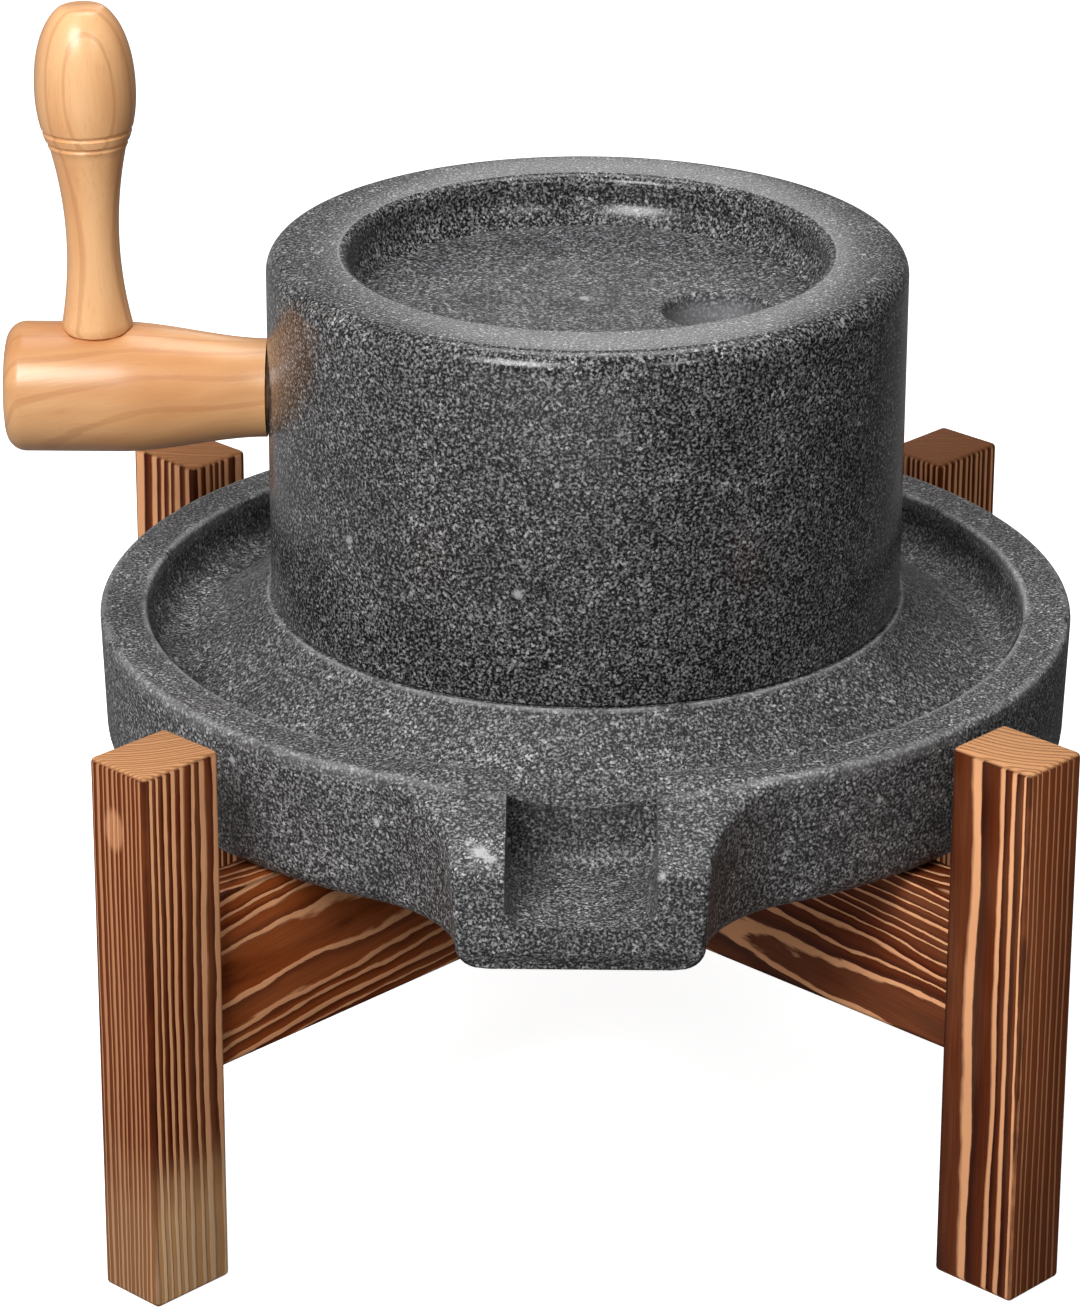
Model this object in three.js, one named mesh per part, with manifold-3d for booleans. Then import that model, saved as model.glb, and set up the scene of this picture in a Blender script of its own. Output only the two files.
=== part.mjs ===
// Household rotary quern: a granite runner stone turned by a wooden crank on a granite bed stone
// with a catch trough and a pouring spout, carried by a four-legged stand with crossed braces.
// Millimetres, +Z up. The floor is Z = 0, the spout points along -Y and the crank along -X.
import * as THREE from 'three';
import { mergeVertices } from 'three/addons/utils/BufferGeometryUtils.js';
import Module from 'manifold-3d';

const wasm = await Module();
wasm.setup();

// ---- driving dimensions ------------------------------------------------------------------
const clearance = 0.3;            // between pieces that touch or nest
const turns = 72;                 // facets round the stones
const turnsSmall = 30;            // facets round the turned wood
const overrun = 10;               // how far a cutting solid passes the face it opens

// stand
const seatHeight = 164;           // top of the braces, where the bed stone rests
const legHeight = 229;
const legWidth = 31;              // across the diagonal
const legDepth = 39;              // along the diagonal
const legCentreRadius = 234;      // from the stand's middle to the middle of each leg
const legChamfer = 2;
const standShift = [-4, -10];     // the stones sit a little off the stand's middle
const standTurn = 1.9;            // and the stand is turned under them by this much, degrees
const braceThickness = 20;
const braceHeights = [74, 68];    // front-left board, front-right board
const braceChamfer = 1;
const lapDepth = 34;              // of the cut in the front-left board, from its top
const tenonThickness = 12;
const tenonHeight = 40;
const tenonLength = 15;

// bed stone: heights are above its underside
const trayRadius = 200;
const trayTaper = 1.6;            // how much the side leans in towards the underside
const trayUnderRound = 10;
const rimHeight = 58.5;
const rimRound = 3;
const troughRadius = 180.5;
const troughRound = 12;
const troughFloor = 37.5;
const troughLip = 2;
const bossRadius = 131.5;
const bossHeight = 62.8;
const bossArris = 1;
const flankFootRadius = 165;
const flankBend = [148, 46];      // control point of the flank's hollow
const spoutReach = 236;
const spoutHalfWidth = 49;
const spoutFillet = 60;
const spoutFrontRound = 3;
const spoutSlopeStart = 184;      // where the spout's top begins to fall
const spoutFrontHeight = 41;
const channelWidth = 57.5;
const channelRound = 9;
const channelFloor = 18.4;
const channelStart = 178;
const channelStepRun = 9;
const channelStepBend = 2;        // control point of the step's hollow, from where the channel starts
const pivotRadius = 12;
const pivotHeight = 10;
const pivotRound = 1.5;
const pivotPlay = 1;              // round the pivot, inside the runner's socket
const pivotHeadroom = 1.5;

// runner stone: heights are above its grinding face
const grindingGap = 0.4;
const runnerRadius = 129.6;
const runnerHeight = 145.3;
const runnerTopRound = 8;
const runnerFootChamfer = 1.2;
const dishMouthRadius = 97;
const dishFloorRadius = 91;
const dishDepth = 20;
const dishLip = 3.5;
const dishWallBulge = 2.2;        // how far the dish wall hollows behind a straight line
const eyeRadius = 21.8;
const eyeThroatRadius = 13;
const eyeFunnelDepth = 26;
const eyeCentre = [52.5, -16.5];
const eyeRound = 1.5;

// crank arm, along -X from the runner's side, and its upright grip
const armHeight = 84.8;
const armReach = 237.4;
const armNeckRadius = 20.1;
const armHeadRadius = 26.5;
const armSwellLength = 60;
const armEndRound = 8;
const armEndDome = 1.5;
const armTenonRadius = 15;
const armTenonLength = 42;
const armSocketSpare = 2;         // left empty beyond the tenon's end
const gripDistance = 198.5;       // from the mill axis, measured at the arm's top
const gripLean = 1.2;             // degrees, outwards
const gripSink = 2;
const gripFootRadius = 13.7;
const gripFootChamfer = 1;
const gripLength = 135.5;
const gripWaistRadius = 10.7;
const gripWaistAt = 38;
const gripWaistCurve = 0.003;     // growth of the radius with the square of the height
const gripKnobRadius = 20.3;
const gripKnobAt = 101;
const gripKnobFrom = 76;
const gripKnobBelow = 36.5;
const gripKnobAbove = 37;
const gripGrooves = [80.1, 85.1];
const gripGrooveWidth = 2;
const gripGrooveDepth = 0.9;
const gripTenonRadius = 8;
const gripTenonLength = 22;
const gripTenonSpare = 1;

// ---- places ------------------------------------------------------------------------------
const bedBase = seatHeight + clearance;
const grindingPlane = bedBase + bossHeight + grindingGap;
const armAxisHeight = grindingPlane + armHeight;
const millAxis = new THREE.Vector2((armReach - trayRadius) / 2, (spoutReach - trayRadius) / 2);
const degrees = THREE.MathUtils.degToRad;

const stoneDark = { color: 0x34353a, roughness: 0.35, metalness: 0 };
const stoneMatte = { color: 0x5a5b60, roughness: 0.7, metalness: 0 };
const paleWood = { color: 0xd9a066, roughness: 0.4, metalness: 0 };
const charredWood = { color: 0x7a4420, roughness: 0.6, metalness: 0 };

// ---- solids ------------------------------------------------------------------------------
function toSolid(geometry) {
  const bare = geometry.clone();
  bare.deleteAttribute('normal');
  bare.deleteAttribute('uv');
  const merged = mergeVertices(bare, 1e-4);
  return new wasm.Manifold(new wasm.Mesh({
    numProp: 3,
    vertProperties: new Float32Array(merged.attributes.position.array),
    triVerts: new Uint32Array(merged.index.array),
  }));
}

function toGeometry(solid) {
  const mesh = solid.getMesh();
  const geometry = new THREE.BufferGeometry();
  geometry.setAttribute('position', new THREE.BufferAttribute(new Float32Array(mesh.vertProperties), 3));
  geometry.setIndex(new THREE.BufferAttribute(new Uint32Array(mesh.triVerts), 1));
  geometry.computeVertexNormals();
  return geometry;
}

// A round solid about Z from [radius, height] pairs, listed from the axis up the outside.
function turned(profile, facets) {
  const points = profile.map(([radius, height]) => new THREE.Vector2(radius, height));
  const geometry = new THREE.LatheGeometry(points, facets);
  geometry.rotateX(Math.PI / 2);
  return geometry;
}

function arc(centreX, centreY, radius, fromDegrees, toDegrees, steps) {
  const points = [];
  for (let i = 0; i <= steps; i += 1) {
    const angle = degrees(fromDegrees + (toDegrees - fromDegrees) * i / steps);
    points.push([centreX + radius * Math.cos(angle), centreY + radius * Math.sin(angle)]);
  }
  return points;
}

function cylinder(radius, bottom, top, facets) {
  return turned([[0, bottom], [radius, bottom], [radius, top], [0, top]], facets);
}

// A board lying along X, its width along Y and its height along Z, with every arris chamfered.
function board(length, width, height, chamfer) {
  const shape = new THREE.Shape();
  const halfWidth = width / 2 - chamfer;
  const halfHeight = height / 2 - chamfer;
  shape.moveTo(-halfWidth, -halfHeight);
  shape.lineTo(halfWidth, -halfHeight);
  shape.lineTo(halfWidth, halfHeight);
  shape.lineTo(-halfWidth, halfHeight);
  const geometry = new THREE.ExtrudeGeometry(shape, {
    depth: length - 2 * chamfer,
    bevelThickness: chamfer,
    bevelSize: chamfer,
    bevelSegments: 1,
  });
  geometry.translate(0, 0, chamfer - length / 2);
  geometry.rotateX(Math.PI / 2);
  geometry.rotateZ(Math.PI / 2);
  return geometry;
}

function named(name, geometry, finish) {
  const mesh = new THREE.Mesh(geometry, new THREE.MeshStandardMaterial(finish));
  mesh.name = name;
  return mesh;
}

// ---- bed stone ---------------------------------------------------------------------------
// The tray's outline seen from above, drawn in by an inset: a disc that runs through hollow
// fillets into the sides of the spout.
function trayOutline(inset, frontInset) {
  const filletX = spoutHalfWidth + spoutFillet;
  const filletY = -Math.sqrt((trayRadius + spoutFillet) ** 2 - filletX ** 2);
  const meet = THREE.MathUtils.radToDeg(Math.atan2(filletY, filletX));
  const sideStart = 3;            // degrees from straight, where a fillet runs into the spout's side
  const front = frontInset - spoutReach;
  const corner = spoutHalfWidth - inset;
  return [
    ...arc(0, 0, trayRadius - inset, meet, 180 - meet, turns + 8).slice(0, -1),
    ...arc(-filletX, filletY, spoutFillet + inset, -meet, sideStart, 8).slice(0, -1),
    [-corner, front + spoutFrontRound],
    [-corner + spoutFrontRound, front],
    [corner - spoutFrontRound, front],
    [corner, front + spoutFrontRound],
    ...arc(filletX, filletY, spoutFillet + inset, 180 - sideStart, 180 + meet, 8).slice(0, -1),
  ];
}

// Rings of the same number of points, one above the other, closed by flat caps.
function stack(rings) {
  const count = rings[0].outline.length;
  const positions = [];
  for (const { outline, height } of rings) {
    for (const [x, y] of outline) positions.push(x, y, height);
  }
  const index = [];
  for (let level = 0; level + 1 < rings.length; level += 1) {
    for (let i = 0; i < count; i += 1) {
      const a = level * count + i;
      const b = level * count + (i + 1) % count;
      index.push(a, b, b + count, a, b + count, a + count);
    }
  }
  const cap = (level, flip) => {
    const flat = rings[level].outline.map(([x, y]) => new THREE.Vector2(x, y));
    for (const [a, b, c] of THREE.ShapeUtils.triangulateShape(flat, [])) {
      const face = flip ? [a, c, b] : [a, b, c];
      index.push(...face.map((corner) => corner + level * count));
    }
  };
  cap(0, true);
  cap(rings.length - 1, false);
  const geometry = new THREE.BufferGeometry();
  geometry.setAttribute('position', new THREE.Float32BufferAttribute(positions, 3));
  geometry.setIndex(index);
  return geometry;
}

function trayBlank() {
  const rings = [];
  for (const [x, height] of arc(trayUnderRound, trayUnderRound, trayUnderRound, -90, -180, 4)) {
    rings.push({ outline: trayOutline(x + trayTaper, Math.min(x, spoutFrontRound)), height });
  }
  for (const [x, height] of arc(rimRound, rimHeight - rimRound, rimRound, 180, 90, 2)) {
    rings.push({ outline: trayOutline(x, 0), height });
  }
  return toSolid(stack(rings));
}

function flank() {
  const curve = new THREE.QuadraticBezierCurve(
    new THREE.Vector2(bossRadius, bossHeight - bossArris),
    new THREE.Vector2(...flankBend),
    new THREE.Vector2(flankFootRadius, troughFloor),
  );
  return curve.getPoints(5).map((point) => [point.x, point.y]).reverse();
}

function boss() {
  const root = troughFloor - troughRound;
  return toSolid(turned([
    [0, root],
    [flankFootRadius, root],
    ...flank(),
    [bossRadius - bossArris, bossHeight],
    [pivotRadius, bossHeight],
    [pivotRadius, bossHeight + pivotHeight - pivotRound],
    [pivotRadius - pivotRound, bossHeight + pivotHeight],
    [0, bossHeight + pivotHeight],
  ], turns));
}

function troughPocket() {
  const above = bossHeight + overrun;
  return toSolid(turned([
    [0, troughFloor],
    ...arc(troughRadius - troughRound, troughFloor + troughRound, troughRound, -90, 0, 4),
    [troughRadius, rimHeight - troughLip],
    [troughRadius + troughLip, rimHeight],
    [troughRadius + troughLip, above],
    [0, above],
  ], turns));
}

// The wedge above the spout's falling top.
function spoutSlope() {
  const fall = Math.atan2(rimHeight - spoutFrontHeight, spoutReach - spoutSlopeStart);
  const size = 120;
  const wedge = new THREE.BoxGeometry(3 * size, size, size);
  wedge.translate(0, -size / 2, size / 2);
  wedge.rotateX(fall);
  wedge.translate(0, -spoutSlopeStart, rimHeight);
  return toSolid(wedge);
}

// The pouring channel: a square-cut way with hollow bottom corners, stepping down from the trough.
function spoutChannel() {
  const top = rimHeight + overrun;
  const front = spoutReach + overrun;
  const side = new THREE.Shape();
  side.moveTo(channelStart, top);
  side.lineTo(channelStart, troughFloor);
  side.quadraticCurveTo(channelStart + channelStepBend, channelFloor, channelStart + channelStepRun, channelFloor);
  side.lineTo(front, channelFloor);
  side.lineTo(front, top);
  const lengthwise = new THREE.ExtrudeGeometry(side, {
    depth: 2 * channelWidth, bevelEnabled: false, curveSegments: 4,
  });
  lengthwise.translate(0, 0, -channelWidth);
  lengthwise.rotateX(Math.PI / 2);
  lengthwise.rotateZ(-Math.PI / 2);

  const half = channelWidth / 2;
  const across = new THREE.Shape();
  across.moveTo(-half, top + overrun);
  across.lineTo(-half, channelFloor + channelRound);
  across.quadraticCurveTo(-half, channelFloor, -half + channelRound, channelFloor);
  across.lineTo(half - channelRound, channelFloor);
  across.quadraticCurveTo(half, channelFloor, half, channelFloor + channelRound);
  across.lineTo(half, top + overrun);
  const crosswise = new THREE.ExtrudeGeometry(across, { depth: 2 * front, bevelEnabled: false, curveSegments: 4 });
  crosswise.rotateX(Math.PI / 2);
  return toSolid(lengthwise).intersect(toSolid(crosswise));
}

function bedStone() {
  const solid = trayBlank()
    .subtract(troughPocket())
    .subtract(spoutSlope())
    .subtract(spoutChannel())
    .add(boss());
  const mesh = named('bed_stone', toGeometry(solid), stoneMatte);
  mesh.position.z = bedBase;
  return mesh;
}

// ---- runner stone ------------------------------------------------------------------------
function runnerBlank() {
  const floor = runnerHeight - dishDepth;
  const wall = [];
  const steps = 5;
  for (let i = 0; i <= steps; i += 1) {
    const t = i / steps;
    const straight = dishFloorRadius + (dishMouthRadius - dishFloorRadius) * t;
    wall.push([straight + dishWallBulge * Math.sin(Math.PI * t), floor + (dishDepth - dishLip) * t]);
  }
  return toSolid(turned([
    [0, 0],
    [runnerRadius - runnerFootChamfer, 0],
    [runnerRadius, runnerFootChamfer],
    ...arc(runnerRadius - runnerTopRound, runnerHeight - runnerTopRound, runnerTopRound, 0, 90, 4),
    [dishMouthRadius + dishLip, runnerHeight],
    ...wall.reverse(),
    [0, floor],
  ], turns));
}

function eyeHole() {
  const floor = runnerHeight - dishDepth;
  const hole = turned([
    [0, -overrun],
    [eyeThroatRadius, -overrun],
    [eyeThroatRadius, floor - eyeFunnelDepth],
    [eyeRadius, floor - eyeRound],
    [eyeRadius + eyeRound, floor],
    [eyeRadius + eyeRound, floor + overrun],
    [0, floor + overrun],
  ], turnsSmall);
  hole.translate(eyeCentre[0], eyeCentre[1], 0);
  return toSolid(hole);
}

function armSocket() {
  const depth = armTenonLength + armSocketSpare;
  const hole = cylinder(armTenonRadius + clearance, 0, depth + overrun, turnsSmall);
  hole.rotateY(-Math.PI / 2);
  hole.translate(depth - runnerRadius, 0, armHeight);
  return toSolid(hole);
}

function runnerStone() {
  const top = pivotHeight - grindingGap + pivotHeadroom;
  const pivotSocket = cylinder(pivotRadius + pivotPlay, -overrun, top, turnsSmall);
  const solid = runnerBlank()
    .subtract(eyeHole())
    .subtract(armSocket())
    .subtract(toSolid(pivotSocket));
  const mesh = named('runner_stone', toGeometry(solid), stoneDark);
  mesh.position.z = grindingPlane;
  return mesh;
}

// ---- crank -------------------------------------------------------------------------------
function placeOnArm(geometry) {
  geometry.rotateY(degrees(-gripLean));
  geometry.translate(-gripDistance, 0, armHeadRadius - gripSink);
  return geometry;
}

function crankArm() {
  const neck = runnerRadius + clearance;
  const body = [];
  const steps = 8;
  for (let i = 0; i <= steps; i += 1) {
    const t = i / steps;
    const swell = THREE.MathUtils.smoothstep(t, 0, 1);
    body.push([armNeckRadius + (armHeadRadius - armNeckRadius) * swell, neck + armSwellLength * t]);
  }
  const endFlat = armReach - armEndDome;
  const profile = [
    [0, neck - armTenonLength],
    [armTenonRadius, neck - armTenonLength],
    [armTenonRadius, neck],
    ...body,
    ...arc(armHeadRadius - armEndRound, endFlat - armEndRound, armEndRound, 0, 80, 5),
    [0, armReach],
  ];
  const blank = turned(profile, turnsSmall);
  blank.rotateY(-Math.PI / 2);
  const seat = placeOnArm(cylinder(gripFootRadius + clearance, -clearance, overrun, turnsSmall));
  const holeDepth = gripTenonLength + gripTenonSpare;
  const hole = placeOnArm(cylinder(gripTenonRadius + clearance, -holeDepth, overrun, turnsSmall));
  const solid = toSolid(blank).subtract(toSolid(seat)).subtract(toSolid(hole));
  const mesh = named('crank_arm', toGeometry(solid), paleWood);
  mesh.position.z = armAxisHeight;
  return mesh;
}

function gripRadius(height) {
  if (height < gripKnobFrom) {
    return gripWaistRadius + gripWaistCurve * (height - gripWaistAt) ** 2;
  }
  const above = height > gripKnobAt;
  const power = above ? 2.2 : 2;
  const reach = above ? gripKnobAbove : gripKnobBelow;
  return gripKnobRadius * (1 - (Math.abs(height - gripKnobAt) / reach) ** power) ** (1 / power);
}

function grip() {
  const profile = [[0, -gripTenonLength], [gripTenonRadius, -gripTenonLength], [gripTenonRadius, 0]];
  profile.push([gripFootRadius - gripFootChamfer, 0], [gripFootRadius, gripFootChamfer]);
  const step = 9;
  const half = gripGrooveWidth / 2;
  const heights = [];
  for (let height = step; height < gripLength; height += step) {
    if (gripGrooves.every((groove) => Math.abs(groove - height) > half)) heights.push(height);
  }
  for (const groove of gripGrooves) heights.push(groove - half, groove, groove + half);
  heights.push(gripLength - 2, gripLength);
  heights.sort((a, b) => a - b);
  for (const height of heights) {
    const cut = gripGrooves.includes(height) ? gripGrooveDepth : 0;
    profile.push([gripRadius(height) - cut, height]);
  }
  profile.push([0, gripLength]);
  const mesh = named('grip', placeOnArm(turned(profile, turnsSmall)), paleWood);
  mesh.position.z = armAxisHeight;
  return mesh;
}

// ---- stand -------------------------------------------------------------------------------
const legNames = { 45: 'leg_back_right', 135: 'leg_back_left', 225: 'leg_front_left', 315: 'leg_front_right' };

function tenonBox(extra) {
  const box = new THREE.BoxGeometry(
    2 * (tenonLength + extra),
    tenonThickness + 2 * extra,
    tenonHeight + 2 * extra,
  );
  box.translate(0, 0, seatHeight - braceHeights[1] / 2);
  return box;
}

function leg(angle) {
  const blank = board(legHeight, legWidth, legDepth, legChamfer);
  blank.rotateY(Math.PI / 2);
  blank.translate(legCentreRadius, 0, legHeight / 2);
  const mortise = tenonBox(clearance);
  mortise.translate(legCentreRadius - legDepth / 2, 0, 0);
  const mesh = named(legNames[angle], toGeometry(toSolid(blank).subtract(toSolid(mortise))), charredWood);
  mesh.rotation.z = degrees(angle);
  return mesh;
}

function brace(name, height, angle, notchFrom, notchTo) {
  const reach = legCentreRadius - legDepth / 2 - clearance;
  const blank = board(2 * reach, braceThickness, height, braceChamfer);
  blank.translate(0, 0, seatHeight - height / 2);
  let solid = toSolid(blank);
  for (const side of [-1, 1]) {
    const tenon = tenonBox(0);
    tenon.translate(side * (reach + clearance), 0, 0);
    solid = solid.add(toSolid(tenon));
  }
  const notch = new THREE.BoxGeometry(braceThickness + 2 * clearance, 2 * braceThickness, notchTo - notchFrom);
  notch.translate(0, 0, (notchFrom + notchTo) / 2);
  solid = solid.subtract(toSolid(notch));
  const mesh = named(name, toGeometry(solid), charredWood);
  mesh.rotation.z = degrees(angle);
  return mesh;
}

function stand() {
  const group = new THREE.Group();
  for (const angle of Object.keys(legNames)) group.add(leg(Number(angle)));
  const lap = seatHeight - lapDepth;
  group.add(brace('brace_front_left', braceHeights[0], 225, lap, seatHeight + overrun));
  group.add(brace('brace_front_right', braceHeights[1], 315, 0, lap + clearance));
  group.position.set(standShift[0], standShift[1], 0);
  group.rotation.z = degrees(standTurn);
  return group;
}

// ---- whole mill --------------------------------------------------------------------------
const quern = new THREE.Group();
quern.add(stand(), bedStone(), runnerStone(), crankArm(), grip());
quern.position.set(millAxis.x, millAxis.y, 0);

export default quern;
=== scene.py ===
"""Visual model of a household rotary quern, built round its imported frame.

Metres, +Z up. The spout points along -Y and the crank along -X. The runner stone, its crank arm
and the grip turn together about the mill axis; the bed stone and the stand stay still.
"""

import logging
import math
from dataclasses import dataclass
from enum import Enum
from typing import Callable, Optional, Sequence

import bmesh
import bpy
from mathutils import Matrix, Vector


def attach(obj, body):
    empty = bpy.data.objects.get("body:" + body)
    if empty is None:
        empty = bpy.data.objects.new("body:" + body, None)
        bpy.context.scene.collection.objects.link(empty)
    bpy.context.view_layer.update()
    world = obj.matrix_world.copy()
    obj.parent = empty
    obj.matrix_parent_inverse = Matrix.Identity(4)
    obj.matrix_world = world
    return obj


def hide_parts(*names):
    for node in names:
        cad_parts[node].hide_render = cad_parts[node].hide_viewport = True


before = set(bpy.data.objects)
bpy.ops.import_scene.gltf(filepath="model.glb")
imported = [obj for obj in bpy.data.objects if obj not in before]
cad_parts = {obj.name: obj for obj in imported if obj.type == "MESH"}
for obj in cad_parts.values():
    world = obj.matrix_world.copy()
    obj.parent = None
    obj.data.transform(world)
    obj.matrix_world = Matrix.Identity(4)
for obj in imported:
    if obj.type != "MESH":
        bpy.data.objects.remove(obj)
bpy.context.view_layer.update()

LOG = logging.getLogger("quern")
SEED_SIZE = 0.001
WELD = 1e-5
FULL_TURN = 2 * math.pi
SMOOTH_ANGLE = math.radians(34)
CLEARANCE = 0.0003

Pair = tuple[float, float]
Triple = tuple[float, float, float]
Colour = tuple[float, float, float, float]
Object = bpy.types.Object
Material = bpy.types.Material
Tree = bpy.types.NodeTree
Socket = bpy.types.NodeSocket


class Body(Enum):
    """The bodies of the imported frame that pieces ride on."""

    BASE = "base"
    RUNNER = "runner"


class Cut(Enum):
    """What a boolean does with its cutter."""

    AWAY = "DIFFERENCE"
    JOIN = "UNION"


@dataclass(frozen=True)
class MillPlaces:
    """Where the mill's main places lie."""

    axis: Pair = (0.0187, 0.018)
    bed_base: float = 0.1643
    grinding_plane: float = 0.2275
    arm_axis: float = 0.3123
    stand_centre: Pair = (0.0147, 0.008)
    stand_turn: float = math.radians(1.9)


PLACES = MillPlaces()


# ---- modelling by operators --------------------------------------------------------------


def pick(*objects: Object) -> None:
    """Selects only these objects and makes the first one active.

    Args:
        objects: What to select.
    """
    bpy.ops.object.select_all(action="DESELECT")
    for each in objects:
        each.select_set(True)
    bpy.context.view_layer.objects.active = objects[0]


def edit(piece: Object) -> None:
    """Opens a piece in edit mode with nothing selected."""
    pick(piece)
    bpy.ops.object.mode_set(mode="EDIT")
    bpy.ops.mesh.select_all(action="DESELECT")


def leave() -> None:
    """Goes back to object mode."""
    bpy.ops.object.mode_set(mode="OBJECT")


def add_point(place: Triple) -> None:
    """Adds one point to the open mesh and leaves it alone selected."""
    bpy.ops.mesh.select_mode(type="VERT")
    bpy.ops.mesh.select_all(action="DESELECT")
    bpy.ops.mesh.primitive_plane_add(size=SEED_SIZE, location=place)
    bpy.ops.mesh.merge(type="CENTER")


def open_empty(name: str) -> Object:
    """Starts a piece as an empty mesh at the origin, open in edit mode.

    Args:
        name: The piece's name.

    Returns:
        The new object.
    """
    bpy.ops.object.select_all(action="DESELECT")
    bpy.ops.mesh.primitive_plane_add(size=SEED_SIZE)
    piece = bpy.context.object
    piece.name = name
    bpy.ops.object.mode_set(mode="EDIT")
    bpy.ops.mesh.select_mode(type="VERT")
    bpy.ops.mesh.select_all(action="SELECT")
    bpy.ops.mesh.delete(type="VERT")
    return piece


def draw_to(step: Triple) -> None:
    """Extrudes the selected point by a step."""
    bpy.ops.mesh.extrude_vertices_move(TRANSFORM_OT_translate={"value": step})


def close_up() -> None:
    """Welds the open piece's doubles and turns its faces outwards."""
    bpy.ops.mesh.select_all(action="SELECT")
    bpy.ops.mesh.remove_doubles(threshold=WELD)
    bpy.ops.mesh.normals_make_consistent(inside=False)


def settle(piece: Object) -> None:
    """Applies a piece's place, turn and size to its mesh."""
    pick(piece)
    bpy.ops.object.transform_apply(location=True, rotation=True, scale=True)


def turned(name: str, profile: Sequence[Pair], steps: int) -> Object:
    """Turns a profile about Z, as on a lathe.

    Args:
        name: The piece's name.
        profile: (radius, height) pairs from the axis round to the axis again.
        steps: Facets round the piece.

    Returns:
        The closed piece, in object mode.
    """
    piece = open_empty(name)
    add_point((profile[0][0], 0, profile[0][1]))
    for (radius, height), (next_radius, next_height) in zip(profile, profile[1:]):
        draw_to((next_radius - radius, 0, next_height - height))
    bpy.ops.mesh.select_all(action="SELECT")
    bpy.ops.mesh.spin(steps=steps, angle=FULL_TURN, center=(0, 0, 0), axis=(0, 0, 1))
    close_up()
    leave()
    return piece


def arc(centre: Pair, radius: float, start: float, end: float, steps: int) -> list[Pair]:
    """Points of an arc.

    Args:
        centre: The arc's centre.
        radius: Its radius.
        start: Its first angle, in degrees.
        end: Its last angle, in degrees.
        steps: How many equal parts it has.

    Returns:
        The points, both ends included.
    """
    points = []
    for i in range(steps + 1):
        angle = math.radians(start + (end - start) * i / steps)
        points.append((centre[0] + radius * math.cos(angle), centre[1] + radius * math.sin(angle)))
    return points


def bezier(start: Pair, bend: Pair, end: Pair, steps: int) -> list[Pair]:
    """Points of a curve drawn towards one bend, ends included."""
    points = []
    for i in range(steps + 1):
        t = i / steps
        weights = ((1 - t) ** 2, 2 * t * (1 - t), t * t)
        corners = zip(weights, (start, bend, end))
        shares = [(weight * x, weight * y) for weight, (x, y) in corners]
        points.append((sum(x for x, _ in shares), sum(y for _, y in shares)))
    return points


def block(name: str, centre: Triple, size: Triple) -> Object:
    """A box primitive at its place and size, ready to be shaped."""
    bpy.ops.object.select_all(action="DESELECT")
    bpy.ops.mesh.primitive_cube_add(size=1, location=centre, scale=size)
    piece = bpy.context.object
    piece.name = name
    settle(piece)
    return piece


def select_edges(piece: Object, test: Callable[[Vector, Vector], bool]) -> None:
    """In edit mode, selects the edges whose two ends pass a test."""
    bpy.ops.mesh.select_mode(type="EDGE")
    mesh = bmesh.from_edit_mesh(piece.data)
    for edge in mesh.edges:
        edge.select_set(test(edge.verts[0].co, edge.verts[1].co))
    bmesh.update_edit_mesh(piece.data)


def apply(piece: Object, kind: str, **settings: object) -> None:
    """Adds a modifier to a piece, sets it and applies it.

    Args:
        piece: The piece it works on.
        kind: The modifier's type.
        settings: Its values.
    """
    pick(piece)
    modifier = piece.modifiers.new(kind.lower(), kind)
    for key, value in settings.items():
        setattr(modifier, key, value)
    bpy.ops.object.modifier_apply(modifier=modifier.name)


def carve(piece: Object, cutter: Object, cut: Cut = Cut.AWAY) -> None:
    """Cuts a piece with a cutter, or joins it on, and removes the cutter."""
    apply(piece, "BOOLEAN", operation=cut.value, object=cutter, solver="EXACT")
    bpy.data.objects.remove(cutter, do_unlink=True)


def finish_surface(piece: Object) -> None:
    """Welds a piece, turns its faces outwards and shades it smooth between arrises."""
    edit(piece)
    close_up()
    leave()
    bpy.ops.object.shade_smooth_by_angle(angle=SMOOTH_ANGLE)


def hand_over(piece: Object, node: str, body: Body, material: Material) -> None:
    """Dresses a finished piece and sets it in the frame.

    Args:
        piece: The finished piece.
        node: The CAD node it stands for.
        body: The body it rides on.
        material: Its material.
    """
    piece.data.materials.clear()
    piece.data.materials.append(material)
    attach(piece, body.value)
    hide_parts(node)
    piece.data.calc_loop_triangles()
    triangles = len(piece.data.loop_triangles)
    LOG.info("%s: %d triangles, rides on %s", piece.name, triangles, body.value)


# ---- node building -----------------------------------------------------------------------


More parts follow.
